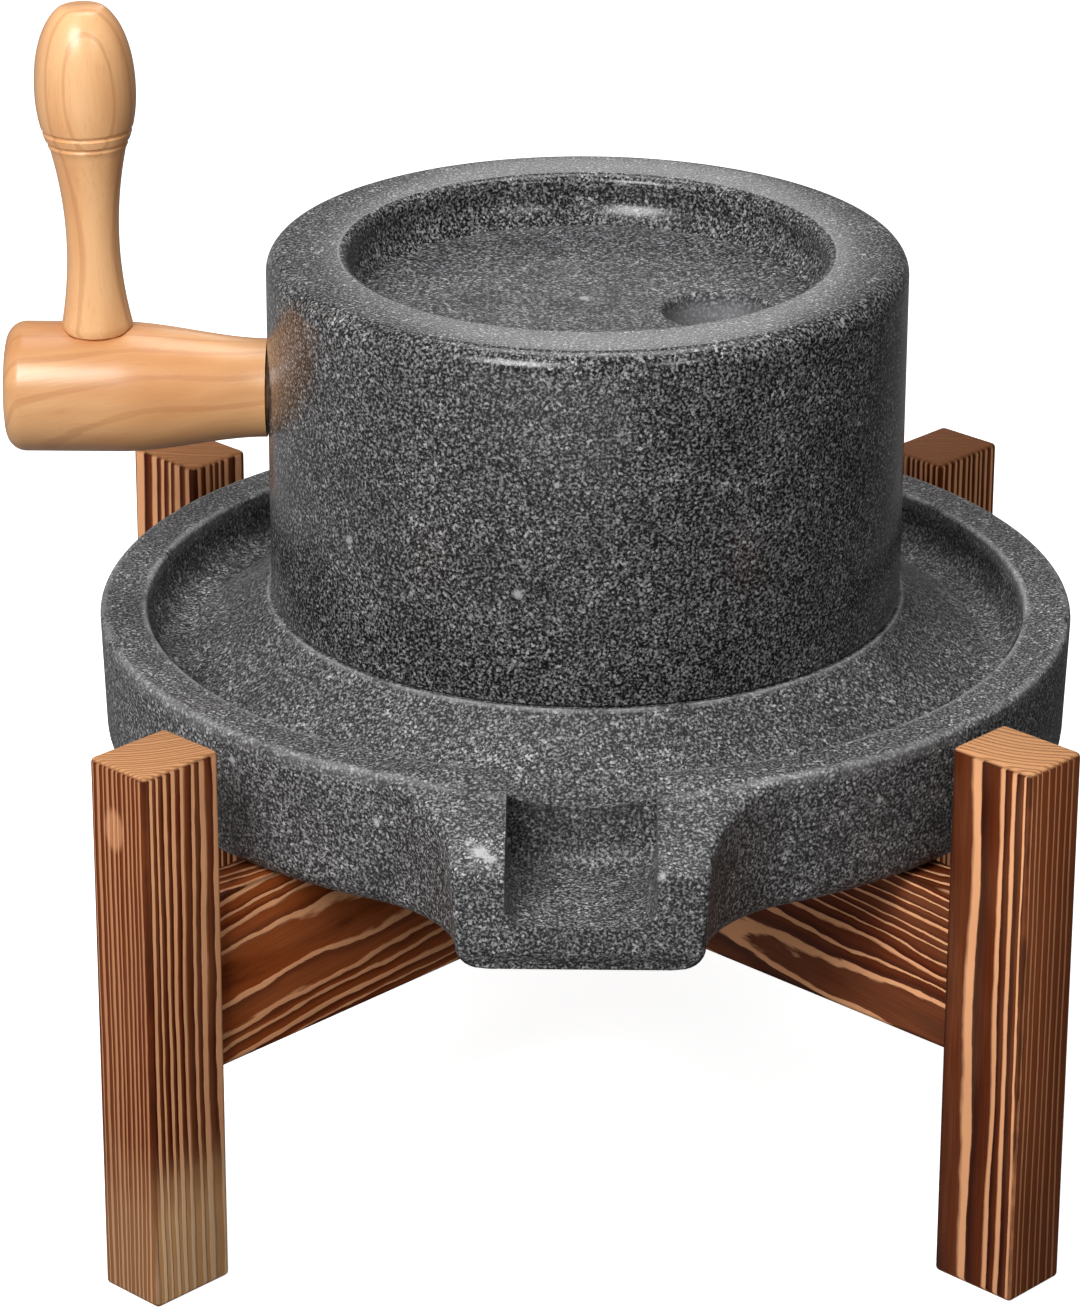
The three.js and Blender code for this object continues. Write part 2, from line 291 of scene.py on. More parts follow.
class Wiring:
    """Adds nodes to one tree and links them."""

    def __init__(self, tree: Tree) -> None:
        """Keeps the tree."""
        self.tree = tree

    def put(self, socket: Socket, value: object) -> None:
        """Links a socket to another one, or sets its value."""
        if isinstance(value, bpy.types.NodeSocket):
            self.tree.links.new(value, socket)
        else:
            socket.default_value = value

    def node(self, kind: str, inputs: Optional[dict] = None, **settings: object) -> bpy.types.Node:
        """Adds a node.

        Args:
            kind: The node's type.
            inputs: Values or sockets for its inputs, by name or number.
            settings: Its properties.

        Returns:
            The new node.
        """
        made = self.tree.nodes.new(kind)
        for key, value in settings.items():
            setattr(made, key, value)
        for key, value in (inputs or {}).items():
            self.put(made.inputs[key], value)
        return made

    def math(self, operation: str, *values: object, clamp: bool = False) -> Socket:
        """The result of a Math node on one to three values."""
        made = self.node("ShaderNodeMath", operation=operation, use_clamp=clamp)
        for socket, value in zip(made.inputs, values):
            self.put(socket, value)
        return made.outputs[0]

    def vector(self, operation: str, *values: object) -> Socket:
        """The vector result of a Vector Math node on one or two vectors."""
        made = self.node("ShaderNodeVectorMath", operation=operation)
        for socket, value in zip(made.inputs, values):
            self.put(socket, value)
        return made.outputs["Vector"]

    def scaled(self, vector: Socket, by: Triple) -> Socket:
        """A vector stretched by three factors."""
        return self.vector("MULTIPLY", vector, by)

    def parts(self, vector: Socket) -> tuple[Socket, Socket, Socket]:
        """A vector's three numbers."""
        made = self.node("ShaderNodeSeparateXYZ", {0: vector})
        return made.outputs[0], made.outputs[1], made.outputs[2]

    def length(self, vector: object) -> Socket:
        """A vector's length."""
        return self.node("ShaderNodeVectorMath", {0: vector}, operation="LENGTH").outputs["Value"]

    def rest(self, share: object, clamp: bool = False) -> Socket:
        """What a share leaves of 1."""
        return self.math("SUBTRACT", 1.0, share, clamp=clamp)

    def seen_from(self, vector: Socket, place: Triple, turn: Triple) -> Socket:
        """A vector as a frame with its own place and turn sees it."""
        values = {"Vector": vector, "Location": place, "Rotation": turn}
        return self.node("ShaderNodeMapping", values, vector_type="TEXTURE").outputs[0]

    def step(self, value: object, low: float, high: float) -> Socket:
        """A smooth step from 0 at low to 1 at high."""
        made = self.node(
            "ShaderNodeMapRange",
            {"Value": value, "From Min": low, "From Max": high},
            interpolation_type="SMOOTHSTEP",
        )
        return made.outputs["Result"]

    def mix(self, factor: object, first: object, second: object) -> Socket:
        """A mix of two colours."""
        made = self.node("ShaderNodeMix", data_type="RGBA")
        self.put(made.inputs[0], factor)
        self.put(made.inputs[6], first)
        self.put(made.inputs[7], second)
        return made.outputs[2]

    def noise(self, vector: Socket, scale: float, detail: float = 2, rough: float = 0.5) -> Socket:
        """The even value of a noise pattern."""
        made = self.node(
            "ShaderNodeTexNoise",
            {"Vector": vector, "Scale": scale, "Detail": detail, "Roughness": rough},
        )
        return made.outputs["Fac"]

    def ramp(self, factor: Socket, stops: Sequence[tuple[float, tuple]]) -> Socket:
        """A colour ramp from (place, colour) stops."""
        made = self.node("ShaderNodeValToRGB", {"Fac": factor})
        elements = made.color_ramp.elements
        while len(elements) < len(stops):
            elements.new(1.0)
        for element, (place, colour) in zip(elements, stops):
            element.position = place
            element.color = colour
        return made.outputs["Color"]

    def group(self, tree: Tree, inputs: dict) -> bpy.types.Node:
        """Places a shader node group with its values."""
        made = self.node("ShaderNodeGroup", node_tree=tree)
        for key, value in inputs.items():
            self.put(made.inputs[key], value)
        return made


def new_group(
    name: str, inputs: dict[str, str], outputs: dict[str, str]
) -> tuple[Wiring, dict, dict]:
    """Starts a shader node group.

    Args:
        name: The group's name.
        inputs: Socket kinds by name.
        outputs: Socket kinds by name.

    Returns:
        The wiring, the input sockets inside by name, and the output node's sockets by name.
    """
    tree = bpy.data.node_groups.new(name, "ShaderNodeTree")
    for label, kind in inputs.items():
        tree.interface.new_socket(label, in_out="INPUT", socket_type=f"NodeSocket{kind}")
    for label, kind in outputs.items():
        tree.interface.new_socket(label, in_out="OUTPUT", socket_type=f"NodeSocket{kind}")
    wiring = Wiring(tree)
    source = wiring.node("NodeGroupInput")
    sink = wiring.node("NodeGroupOutput")
    inside = {label: source.outputs[label] for label in inputs}
    return wiring, inside, {label: sink.inputs[label] for label in outputs}


def granite_grains() -> Tree:
    """Crystals of granite: dark ground, grey grains and white flecks.

    Returns:
        A group that gives a White mask, a Grey mask and a Height.
    """
    w, given, out = new_group(
        "granite_grains",
        {"Vector": "Vector", "Grain": "Float", "Whites": "Float"},
        {"White": "Float", "Grey": "Float", "Height": "Float"},
    )
    warp_scale, warp_reach = 900.0, 0.0011
    drift_scale, drift_share = 45.0, 0.22
    fine_ratio, fine_share, edge_sharpness = 1.9, 0.62, 9.0
    grey_scale, grey_low, grey_high, grey_power = 880.0, 0.30, 0.74, 2.6
    warp_values = {"Vector": given["Vector"], "Scale": warp_scale, "Detail": 2.0}
    warp = w.node("ShaderNodeTexNoise", warp_values)
    shift = w.vector("SUBTRACT", warp.outputs["Color"], (0.5, 0.5, 0.5))
    place = w.vector("ADD", given["Vector"], w.scaled(shift, (warp_reach,) * 3))
    frequency = w.math("DIVIDE", 1.0, given["Grain"])
    slow = w.math("SUBTRACT", w.noise(given["Vector"], drift_scale, 3), 0.5)
    drift = w.math("MULTIPLY", slow, drift_share)
    limit = w.math("SUBTRACT", w.rest(given["Whites"]), drift)
    masks = []
    for scale in (frequency, w.math("MULTIPLY", frequency, fine_ratio)):
        cells = w.node("ShaderNodeTexVoronoi", {"Vector": place, "Scale": scale})
        draw = w.node("ShaderNodeSeparateColor", {0: cells.outputs["Color"]}).outputs[0]
        over = w.math("SUBTRACT", draw, limit)
        masks.append(w.math("MULTIPLY", over, edge_sharpness, clamp=True))
    white = w.math("MAXIMUM", masks[0], w.math("MULTIPLY", masks[1], fine_share))
    grey = w.noise(given["Vector"], grey_scale)
    w.put(out["White"], white)
    w.put(out["Grey"], w.math("POWER", w.step(grey, grey_low, grey_high), grey_power))
    w.put(out["Height"], w.math("ADD", w.math("MULTIPLY", white, 0.6), grey))
    return w.tree


def growth_rings() -> Tree:
    """Growth rings round a pith that runs along X, with fibres.

    Returns:
        A group that gives the place in the Ring from 0 to 1, the Line's mask, the Fibre streaks
        and the Drift of the colour.
    """
    w, given, out = new_group(
        "growth_rings",
        {"Vector": "Vector", "Spacing": "Float", "Wander": "Float", "Uneven": "Float", "Line": "Float"},
        {"Ring": "Float", "Line": "Float", "Fibre": "Float", "Drift": "Float"},
    )
    slow_stretch, quick_stretch = (5.0, 22.0, 22.0), (70.0, 260.0, 260.0)
    fibre_stretch, drift_stretch = (28.0, 1300.0, 1300.0), (12.0, 60.0, 60.0)
    jag_share, year_scale = 0.10, 0.45
    rise_share, fall_share = 0.26, 0.14
    slow = w.scaled(given["Vector"], slow_stretch)
    wave = w.node("ShaderNodeTexNoise", {"Vector": slow, "Scale": 1.0, "Detail": 2.0})
    centred = w.vector("SUBTRACT", wave.outputs["Color"], (0.5, 0.5, 0.5))
    values = {0: centred, "Scale": given["Wander"]}
    reach = w.node("ShaderNodeVectorMath", values, operation="SCALE").outputs["Vector"]
    quick = w.math("SUBTRACT", w.noise(w.scaled(given["Vector"], quick_stretch), 1.0), 0.5)
    jag = w.math("MULTIPLY", quick, w.math("MULTIPLY", given["Wander"], jag_share))
    _, side, rise = w.parts(w.vector("ADD", given["Vector"], reach))
    flat = w.node("ShaderNodeCombineXYZ", {"Y": side, "Z": rise}).outputs[0]
    turns = w.math("DIVIDE", w.math("ADD", w.length(flat), jag), given["Spacing"])
    values = {"W": turns, "Scale": year_scale, "Detail": 2.0}
    years = w.node("ShaderNodeTexNoise", values, noise_dimensions="1D").outputs["Fac"]
    shifted = w.math("MULTIPLY", w.math("SUBTRACT", years, 0.5), given["Uneven"])
    ring = w.math("FRACT", w.math("ADD", turns, shifted))
    into = w.math("SUBTRACT", ring, w.rest(given["Line"]))
    rise_in = w.math("DIVIDE", into, w.math("MULTIPLY", given["Line"], rise_share), clamp=True)
    left = w.math("MULTIPLY", given["Line"], fall_share)
    fall_off = w.math("DIVIDE", w.rest(ring), left, clamp=True)
    w.put(out["Line"], w.math("MULTIPLY", rise_in, fall_off))
    w.put(out["Ring"], ring)
    w.put(out["Fibre"], w.noise(w.scaled(given["Vector"], fibre_stretch), 1.0, 3, 0.6))
    w.put(out["Drift"], w.noise(w.scaled(given["Vector"], drift_stretch), 1.0))
    return w.tree


def arris_distance() -> Tree:
    """How far a point of a box's surface is from the nearest arris and from its two ends."""
    w, given, out = new_group(
        "arris_distance",
        {"Vector": "Vector", "Half": "Vector"},
        {"Arris": "Float", "End": "Float"},
    )
    gap = w.vector("SUBTRACT", given["Half"], w.vector("ABSOLUTE", given["Vector"]))
    a, b, c = w.parts(gap)
    low = w.math("MINIMUM", a, b)
    high = w.math("MAXIMUM", a, b)
    w.put(out["Arris"], w.math("MAXIMUM", low, w.math("MINIMUM", high, c)))
    w.put(out["End"], a)
    return w.tree


def turned_line() -> Tree:
    """A ring round Z at one radius and level, such as a painted highlight along an arris; at radius 0,
    a disc.
    """
    sizes = {label: "Float" for label in ("Radius", "Width", "Level", "Depth")}
    w, given, out = new_group("turned_line", {"Vector": "Vector", **sizes}, {"Mask": "Float"})
    across, along, level = w.parts(given["Vector"])
    flat = w.node("ShaderNodeCombineXYZ", {"X": across, "Y": along}).outputs[0]
    off = w.math("ABSOLUTE", w.math("SUBTRACT", w.length(flat), given["Radius"]))
    drop = w.math("ABSOLUTE", w.math("SUBTRACT", level, given["Level"]))
    near = w.rest(w.math("DIVIDE", off, given["Width"]), clamp=True)
    at_level = w.rest(w.math("DIVIDE", drop, given["Depth"]), clamp=True)
    w.put(out["Mask"], w.math("MULTIPLY", near, w.math("POWER", at_level, 0.4)))
    return w.tree


class Effects:
    """The shared node groups, made once."""

    def __init__(self) -> None:
        """Builds every group."""
        self.grains = granite_grains()
        self.rings = growth_rings()
        self.arris = arris_distance()
        self.line = turned_line()


def start_material(name: str) -> tuple[Wiring, bpy.types.Node, Socket]:
    """Starts a material.

    Args:
        name: Its name.

    Returns:
        The wiring, the shader, and the Object coordinates.
    """
    material = bpy.data.materials.new(name)
    material.use_nodes = True
    w = Wiring(material.node_tree)
    shader = material.node_tree.nodes["Principled BSDF"]
    place = w.node("ShaderNodeTexCoord").outputs["Object"]
    return w, shader, place


def bump(w: Wiring, shader: bpy.types.Node, height: Socket, depth: float) -> None:
    """Feeds a height to the shader's normal.

    Args:
        w: The material's wiring.
        shader: The shader.
        height: The height, about 0 to 1.
        depth: What a height of 1 is, in metres.
    """
    made = w.node("ShaderNodeBump", {"Height": height, "Distance": depth})
    w.put(shader.inputs["Normal"], made.outputs["Normal"])


@dataclass(frozen=True)
class Ring:
    """A ring on a turned stone, round the mill axis, paler than the stone as a painted highlight where
    its strength is positive, darker as painted shade where it is negative.
    """

    radius: float
    width: float
    level: float
    depth: float
    strength: float


@dataclass(frozen=True)
class Bore:
    """A round hollow in a stone, left duller than the polish and partly dressed."""

    centre: Pair
    radius: float
    level: float
    depth: float
    dressed: float


@dataclass(frozen=True)
class Chip:
    """A small pale mark on a stone: mostly a bruise; the marks on the spout's left cheek are a painted
    highlight.
    """

    centre: Triple
    radius: float


@dataclass(frozen=True)
class GraniteFinish:
    """One finish of the same granite; chips, rings and bores are placed from the stone's base."""

    name: str
    base: Triple
    ground: Colour
    grey: Colour
    white: Colour
    roughness: float
    relief: float
    roughness_spread: float = 0.1
    grain: float = 0.001
    whites: float = 0.10
    specular: float = 0.4
    dressed: Colour = (0.26, 0.26, 0.268, 1)
    bore_dulling: float = 0.25
    bore_edge: float = 12.0
    ring_break: Triple = (70.0, 0.25, 0.6)
    chip_ragging: float = 900.0
    chip_strength: float = 0.85
    chips: tuple[Chip, ...] = ()
    rings: tuple[Ring, ...] = ()
    bores: tuple[Bore, ...] = ()

    def bored(
        self, w: Wiring, line: Tree, centred: Socket, colour: Socket
    ) -> tuple[Socket, object]:
        """Dresses and dulls the bores.

        Args:
            w: The material's wiring.
            line: The turned line group.
            centred: Coordinates from the stone's base.
            colour: The stone's colour.

        Returns:
            The new colour, and the mask of all bores.
        """
        dulled = 0.0
        for bore in self.bores:
            values = {
                "Vector": w.vector("SUBTRACT", centred, (*bore.centre, 0.0)),
                "Radius": 0.0,
                "Width": bore.radius,
                "Level": bore.level - bore.depth,
                "Depth": bore.depth,
            }
            mask = w.group(line, values).outputs["Mask"]
            inside = w.math("MULTIPLY", mask, self.bore_edge, clamp=True)
            colour = w.mix(w.math("MULTIPLY", inside, bore.dressed), colour, self.dressed)
            dulled = w.math("MAXIMUM", inside, dulled)
        return colour, dulled

    def ringed(
        self, w: Wiring, line: Tree, centred: Socket, place: Socket, colour: Socket
    ) -> Socket:
        """Lays the rings of painted highlight and painted shade over a colour.

        Args:
            w: The material's wiring.
            line: The turned line group.
            centred: Coordinates from the stone's base.
            place: Object coordinates.
            colour: The stone's colour.

        Returns:
            The new colour.
        """
        scale, low, high = self.ring_break
        for ring in self.rings:
            values = {
                "Vector": centred,
                "Radius": ring.radius,
                "Width": ring.width,
                "Level": ring.level,
                "Depth": ring.depth,
            }
            mask = w.group(line, values).outputs["Mask"]
            broken = w.step(w.noise(place, scale, 3), low, high)
            share = w.math("MULTIPLY", broken, abs(ring.strength))
            # White for a painted highlight, the dark ground for painted shade.
            painted_tone = self.white if ring.strength > 0 else self.ground
            colour = w.mix(w.math("MULTIPLY", mask, share), colour, painted_tone)
        return colour

    def chipped(self, w: Wiring, centred: Socket, place: Socket, colour: Socket) -> Socket:
        """Lays the chips, and the painted highlight on the spout's left cheek, over a colour.

        Args:
            w: The material's wiring.
            centred: Coordinates from the stone's base.
            place: Object coordinates.
            colour: The stone's colour.

        Returns:
            The new colour.
        """
        for chip in self.chips:
            reach = w.length(w.vector("SUBTRACT", centred, chip.centre))
            rag = w.math("MULTIPLY", w.noise(place, self.chip_ragging, 3), chip.radius * 1.3)
            edge = w.step(w.math("ADD", reach, rag), chip.radius * 0.8, chip.radius * 1.5)
            share = w.math("MULTIPLY", w.rest(edge), self.chip_strength)
            colour = w.mix(share, colour, self.white)
        return colour

    def material(self, effects: Effects) -> Material:
        """Builds the material.

        Args:
            effects: The shared groups.

        Returns:
            The material.
        """
        w, shader, place = start_material(self.name)
        values = {"Vector": place, "Grain": self.grain, "Whites": self.whites}
        grains = w.group(effects.grains, values).outputs
        colour = w.mix(grains["Grey"], self.ground, self.grey)
        colour = w.mix(grains["White"], colour, self.white)
        centred = w.vector("SUBTRACT", place, self.base)
        colour, dulled = self.bored(w, effects.line, centred, colour)
        colour = self.ringed(w, effects.line, centred, place, colour)
        colour = self.chipped(w, centred, place, colour)
        w.put(shader.inputs["Base Color"], colour)
        worn = w.math("MULTIPLY", w.noise(place, 60.0, 3), self.roughness_spread)
        sparkle = w.math("MULTIPLY", grains["White"], self.roughness_spread)
        rough = w.math("ADD", w.math("ADD", worn, sparkle), self.roughness)
        dull = w.math("MULTIPLY", dulled, self.bore_dulling)
        w.put(shader.inputs["Roughness"], w.math("ADD", rough, dull))
        shader.inputs["Specular IOR Level"].default_value = self.specular
        bump(w, shader, grains["Height"], self.relief)
        return bpy.data.materials[self.name]


@dataclass(frozen=True)
class Timber:
    """How a piece of wood lies: its middle, its turn, and the pith it was sawn beside."""

    centre: Triple
    turn: Triple
    pith: Triple
    spacing: float
    tilt: Triple = (0.0, 0.0, 0.0)
    wander: float = 0.010
    uneven: float = 1.0

    def rings(self, w: Wiring, place: Socket, effects: Effects, line: float) -> tuple[Socket, dict]:
        """Places the growth rings.

        Args:
            w: The material's wiring.
            place: Object coordinates.
            effects: The shared groups.
            line: The share of each year that is its line.

        Returns:
            Coordinates in the piece's own frame, and the rings' outputs by name.
        """
        local = w.seen_from(place, self.centre, self.turn)
        values = {
            "Vector": w.seen_from(local, self.pith, self.tilt),
            "Spacing": self.spacing,
            "Wander": self.wander,
            "Uneven": self.uneven,
            "Line": line,
        }
        return local, w.group(effects.rings, values).outputs


@dataclass(frozen=True)
class PaleWoodFinish:
    """Turned pale hardwood with a satin oil finish."""

    name: str
    timber: Timber
    light: Colour = (0.80, 0.43, 0.19, 1)
    deep: Colour = (0.66, 0.30, 0.115, 1)
    line: Colour = (0.50, 0.19, 0.065, 1)
    line_width: float = 0.20
    line_strength: float = 0.34
    streak_strength: float = 0.22
    roughness: float = 0.34
    roughness_spread: float = 0.1
    coat: float = 0.25
    coat_roughness: float = 0.22
    relief: float = 0.00006
    lathe_scale: float = 900.0
    lathe_lines: float = 0.0

    def material(self, effects: Effects) -> Material:
        """Builds the material.

        Args:
            effects: The shared groups.

        Returns:
            The material.
        """
        w, shader, place = start_material(self.name)
        local, rings = self.timber.rings(w, place, effects, self.line_width)
        colour = w.mix(w.step(rings["Drift"], 0.3, 0.7), self.light, self.deep)
        share = w.math("MULTIPLY", rings["Line"], self.line_strength)
        colour = w.mix(share, colour, self.line)
        streak = w.step(rings["Fibre"], 0.52, 0.74)
        colour = w.mix(w.math("MULTIPLY", streak, self.streak_strength), colour, self.line)
        w.put(shader.inputs["Base Color"], colour)
        spread = w.math("MULTIPLY", streak, self.roughness_spread)
        w.put(shader.inputs["Roughness"], w.math("ADD", spread, self.roughness))
        shader.inputs["Coat Weight"].default_value = self.coat
        shader.inputs["Coat Roughness"].default_value = self.coat_roughness
        height = rings["Fibre"]
        if self.lathe_lines:
            along, _, _ = w.parts(local)
            values = {"W": w.math("MULTIPLY", along, self.lathe_scale), "Scale": 1.0, "Detail": 2.0}
            lathe = w.node("ShaderNodeTexNoise", values, noise_dimensions="1D").outputs["Fac"]
            height = w.math("ADD", height, w.math("MULTIPLY", lathe, self.lathe_lines))
        bump(w, shader, height, self.relief)
        return bpy.data.materials[self.name]


@dataclass(frozen=True)
class CharredWoodFinish:
    """Softwood burnt and brushed, with its growth rings showing.

    In a piece's own frame X runs along the grain and Y points to its outer face.
    """

    name: str
    timber: Timber
    half: Triple
    line_width: float = 0.55
    dark: Colour = (0.068, 0.009, 0.0015, 1)
    brown: Colour = (0.26, 0.055, 0.010, 1)
    tan: Colour = (0.98, 0.47, 0.23, 1)
    worn: Colour = (0.16, 0.030, 0.005, 1)
    char: Colour = (0.020, 0.006, 0.002, 1)
    faded_band: Colour = (0.90, 0.48, 0.21, 1)
    faded_line: Colour = (1.0, 0.70, 0.42, 1)
    end_grain: Colour = (0.64, 0.31, 0.14, 1)
    end_line: Colour = (0.30, 0.12, 0.04, 1)
    lit_share: float = 0.14
    streak_share: float = 0.35
    outer_wear: float = 0.0
    outer_edge: Pair = (0.0018, 0.0012)
    burn_width: float = 0.002
    burn_wander: float = 0.004
    burn_share: float = 0.7
    scorch_stretch: Triple = (9.0, 30.0, 30.0)
    scorch_share: float = 0.18
    fade_from: float = 9.0
    fade_length: float = 0.05
    fade_wander: float = 0.04
    fade_share: float = 0.8
    fade_outer_loss: float = 0.7
    knot: Optional[Triple] = None
    knot_radius: float = 0.0065
    knot_share: float = 0.42
    cut_edge: Pair = (0.0004, 0.0016)
    specular: float = 0.12
    roughness: float = 0.5
    roughness_spread: float = 0.18
    relief: float = 0.00035
    fibre_relief: float = 0.35

    def grown(self, w: Wiring, rings: dict) -> tuple[Socket, Socket]:
        """The colour of the brushed rings.

        Args:
            w: The material's wiring.
            rings: The rings' outputs by name.

        Returns:
            The colour and the mask of the fibre streaks.
        """
        stops = [(0.0, self.dark), (0.14, self.dark), (0.45, self.brown), (0.75, self.brown)]
        band = w.ramp(rings["Ring"], stops + [(1.0, self.dark)])
        lit = w.math("MULTIPLY", w.step(rings["Drift"], 0.38, 0.66), self.lit_share)
        band = w.mix(lit, band, w.mix(0.5, self.brown, self.tan))
        streak = w.step(rings["Fibre"], 0.35, 0.70)
        band = w.mix(w.math("MULTIPLY", streak, self.streak_share), band, self.dark)
        return w.mix(rings["Line"], band, self.tan), streak

    def burnt(self, w: Wiring, local: Socket, arris: Socket, colour: Socket) -> Socket:
        """Chars the arrises and scorches patches.

        Args:
            w: The material's wiring.
            local: Coordinates in the piece's own frame.
            arris: The distance from the nearest arris.
            colour: The wood's colour.

        Returns:
            The new colour.
        """
        patch = w.math("SUBTRACT", w.noise(local, 38.0, 3, 0.6), 0.55)
        reach = w.math("ADD", arris, w.math("MULTIPLY", patch, self.burn_wander))
        burn = w.rest(w.step(reach, 0.0, self.burn_width))
        colour = w.mix(w.math("MULTIPLY", burn, self.burn_share), colour, self.char)
        scorch = w.step(w.noise(w.scaled(local, self.scorch_stretch), 1.0), 0.42, 0.68)
        return w.mix(w.math("MULTIPLY", scorch, self.scorch_share), colour, self.dark)

    def material(self, effects: Effects) -> Material:
        """Builds the material.

        Args:
            effects: The shared groups.

        Returns:
            The material.
        """
        w, shader, place = start_material(self.name)
        local, rings = self.timber.rings(w, place, effects, self.line_width)
        line = rings["Line"]
        colour, streak = self.grown(w, rings)
        edges = w.group(effects.arris, {"Vector": local, "Half": self.half}).outputs
        along, outward, _ = w.parts(local)
        low, high = self.outer_edge
        outer = w.step(outward, self.half[1] - low, self.half[1] - high)
        colour = w.mix(w.math("MULTIPLY", outer, self.outer_wear), colour, self.worn)
        colour = self.burnt(w, local, edges["Arris"], colour)
        wander = w.math("MULTIPLY", w.noise(local, 30.0), self.fade_wander)
        lower = w.math("SUBTRACT", wander, along)
        faded = w.step(lower, self.fade_from, self.fade_from + self.fade_length)
        inner = w.rest(w.math("MULTIPLY", outer, self.fade_outer_loss))
        share = w.math("MULTIPLY", w.math("MULTIPLY", faded, inner), self.fade_share)
        colour = w.mix(share, colour, w.mix(line, self.faded_band, self.faded_line))
        if self.knot:
            away = w.scaled(w.vector("SUBTRACT", local, self.knot), (0.6, 1.0, 1.0))
            spot = w.rest(w.step(w.length(away), self.knot_radius * 0.55, self.knot_radius))
            colour = w.mix(w.math("MULTIPLY", spot, self.knot_share), colour, self.tan)
        cut_end = w.rest(w.step(edges["End"], *self.cut_edge))
        grain = w.mix(w.math("MULTIPLY", line, 0.6), self.end_grain, self.end_line)
        w.put(shader.inputs["Base Color"], w.mix(cut_end, colour, grain))
        spread = w.math("MULTIPLY", streak, self.roughness_spread)
        w.put(shader.inputs["Roughness"], w.math("ADD", spread, self.roughness))
        shader.inputs["Specular IOR Level"].default_value = self.specular
        raised = w.math("ADD", line, w.math("MULTIPLY", rings["Fibre"], self.fibre_relief))
        bump(w, shader, raised, self.relief)
        return bpy.data.materials[self.name]


# ---- stones ------------------------------------------------------------------------------


@dataclass
class BedStone:
    """The granite tray: grinding boss, hollow flank, catch trough, rim and pouring spout."""

    tray_radius: float = 0.200
    taper: float = 0.0016
    under_round: float = 0.010
    rim_height: float = 0.0585
    rim_round: float = 0.003
    trough_radius: float = 0.1805
    trough_round: float = 0.012
    trough_floor: float = 0.0375
    trough_lip: float = 0.002
    boss_radius: float = 0.1315
    boss_height: float = 0.0628
    flank_foot: float = 0.165
    flank_bend: Pair = (0.148, 0.046)
    spout_reach: float = 0.236
    spout_half: float = 0.049
    spout_fillet: float = 0.060
    fillet_end: float = math.radians(3)
    spout_front_round: float = 0.003
    slope_start: float = 0.184
    slope_front_height: float = 0.041
    channel_half: float = 0.02875
    channel_round: float = 0.009
    channel_floor: float = 0.0184
    channel_start: float = 0.178
    boss_arris: float = 0.001
    pivot_radius: float = 0.012
    pivot_height: float = 0.010
    pivot_round: float = 0.0015
    overrun: float = 0.010
    facets: int = 240
    outline_facets: int = 220
    fillet_facets: int = 24
    corner_facets: int = 5

    def draw_ring(self, inset: float, front_inset: float, height: float) -> None:
        """Draws the tray's outline as one closed ring of the open mesh.

        Args:
            inset: How far the ring is drawn in from the sides.
            front_inset: How far it is drawn in at the spout's front.
            height: Its level.
        """
        fillet_x = self.spout_half + self.spout_fillet
        fillet_y = -math.sqrt((self.tray_radius + self.spout_fillet) ** 2 - fillet_x**2)
        meet = math.atan2(fillet_y, fillet_x)
        radius = self.tray_radius - inset
        fillet = self.spout_fillet + inset
        up = (0, 0, 1)
        spin = bpy.ops.mesh.spin
        add_point((radius * math.cos(meet), radius * math.sin(meet), height))
        spin(steps=self.outline_facets, angle=-(math.pi - 2 * meet), center=(0, 0, height), axis=up)
        sweep = -meet - self.fillet_end
        spin(steps=self.fillet_facets, angle=sweep, center=(-fillet_x, fillet_y, height), axis=up)
        end_x = fillet_x - fillet * math.cos(self.fillet_end)
        end_y = fillet_y + fillet * math.sin(self.fillet_end)
        side = self.spout_half - inset
        corner_x = side - self.spout_front_round
        corner_y = self.spout_front_round + front_inset - self.spout_reach
        draw_to((end_x - side, corner_y - end_y, 0))
        quarter = {"steps": self.corner_facets, "angle": -math.pi / 2, "axis": up}
        spin(center=(-corner_x, corner_y, height), **quarter)
        draw_to((2 * corner_x, 0, 0))
        spin(center=(corner_x, corner_y, height), **quarter)
        draw_to((end_x - side, end_y - corner_y, 0))
        spin(steps=self.fillet_facets, angle=sweep, center=(fillet_x, fillet_y, height), axis=up)

    def blank(self) -> Object:
        """The tray's outline raised ring by ring, its spout's top lowered to a slope."""
        piece = open_empty("bed_stone")
        rings = []
        for x, height in arc((self.under_round, self.under_round), self.under_round, -90, -180, 7):
            rings.append((x + self.taper, min(x, self.spout_front_round), height))
        corner = (self.rim_round, self.rim_height - self.rim_round)
        for x, height in arc(corner, self.rim_round, 180, 90, 6):
            rings.append((x, x / 2, height))
        for ring in rings:
            self.draw_ring(*ring)
        bpy.ops.mesh.select_all(action="SELECT")
        bpy.ops.mesh.remove_doubles(threshold=WELD)
        bpy.ops.mesh.bridge_edge_loops()
        for level in (rings[0][2], rings[-1][2]):
            select_edges(piece, lambda a, b: max(abs(a.z - level), abs(b.z - level)) < WELD)
            bpy.ops.mesh.edge_face_add()
        bpy.ops.mesh.select_all(action="SELECT")
        bpy.ops.mesh.bisect(plane_co=(0, -self.slope_start, 0), plane_no=(0, 1, 0))
        close_up()
        leave()
        fall = (self.rim_height - self.slope_front_height) / (self.spout_reach - self.slope_start)
        for vertex in piece.data.vertices:
            if vertex.co.y < -self.slope_start and vertex.co.z > self.rim_height / 2:
                vertex.co.z += (vertex.co.y + self.slope_start) * fall
        return piece

    def trough_cutter(self) -> Object:
        """The round pocket that leaves the trough and its rim."""
        top = self.rim_height + self.overrun
        lip_start = self.rim_height - self.trough_lip
        corner = (self.trough_radius - self.trough_round, self.trough_floor + self.trough_round)
        profile = [(0, self.trough_floor)]
        profile += arc(corner, self.trough_round, -90, 0, 10)
        lip_centre = (self.trough_radius + self.trough_lip, lip_start)
        profile += arc(lip_centre, self.trough_lip, 180, 90, 5)
        profile += [(self.trough_radius + self.trough_lip + 1e-4, top), (0, top)]
        return turned("trough_cutter", profile, self.facets)

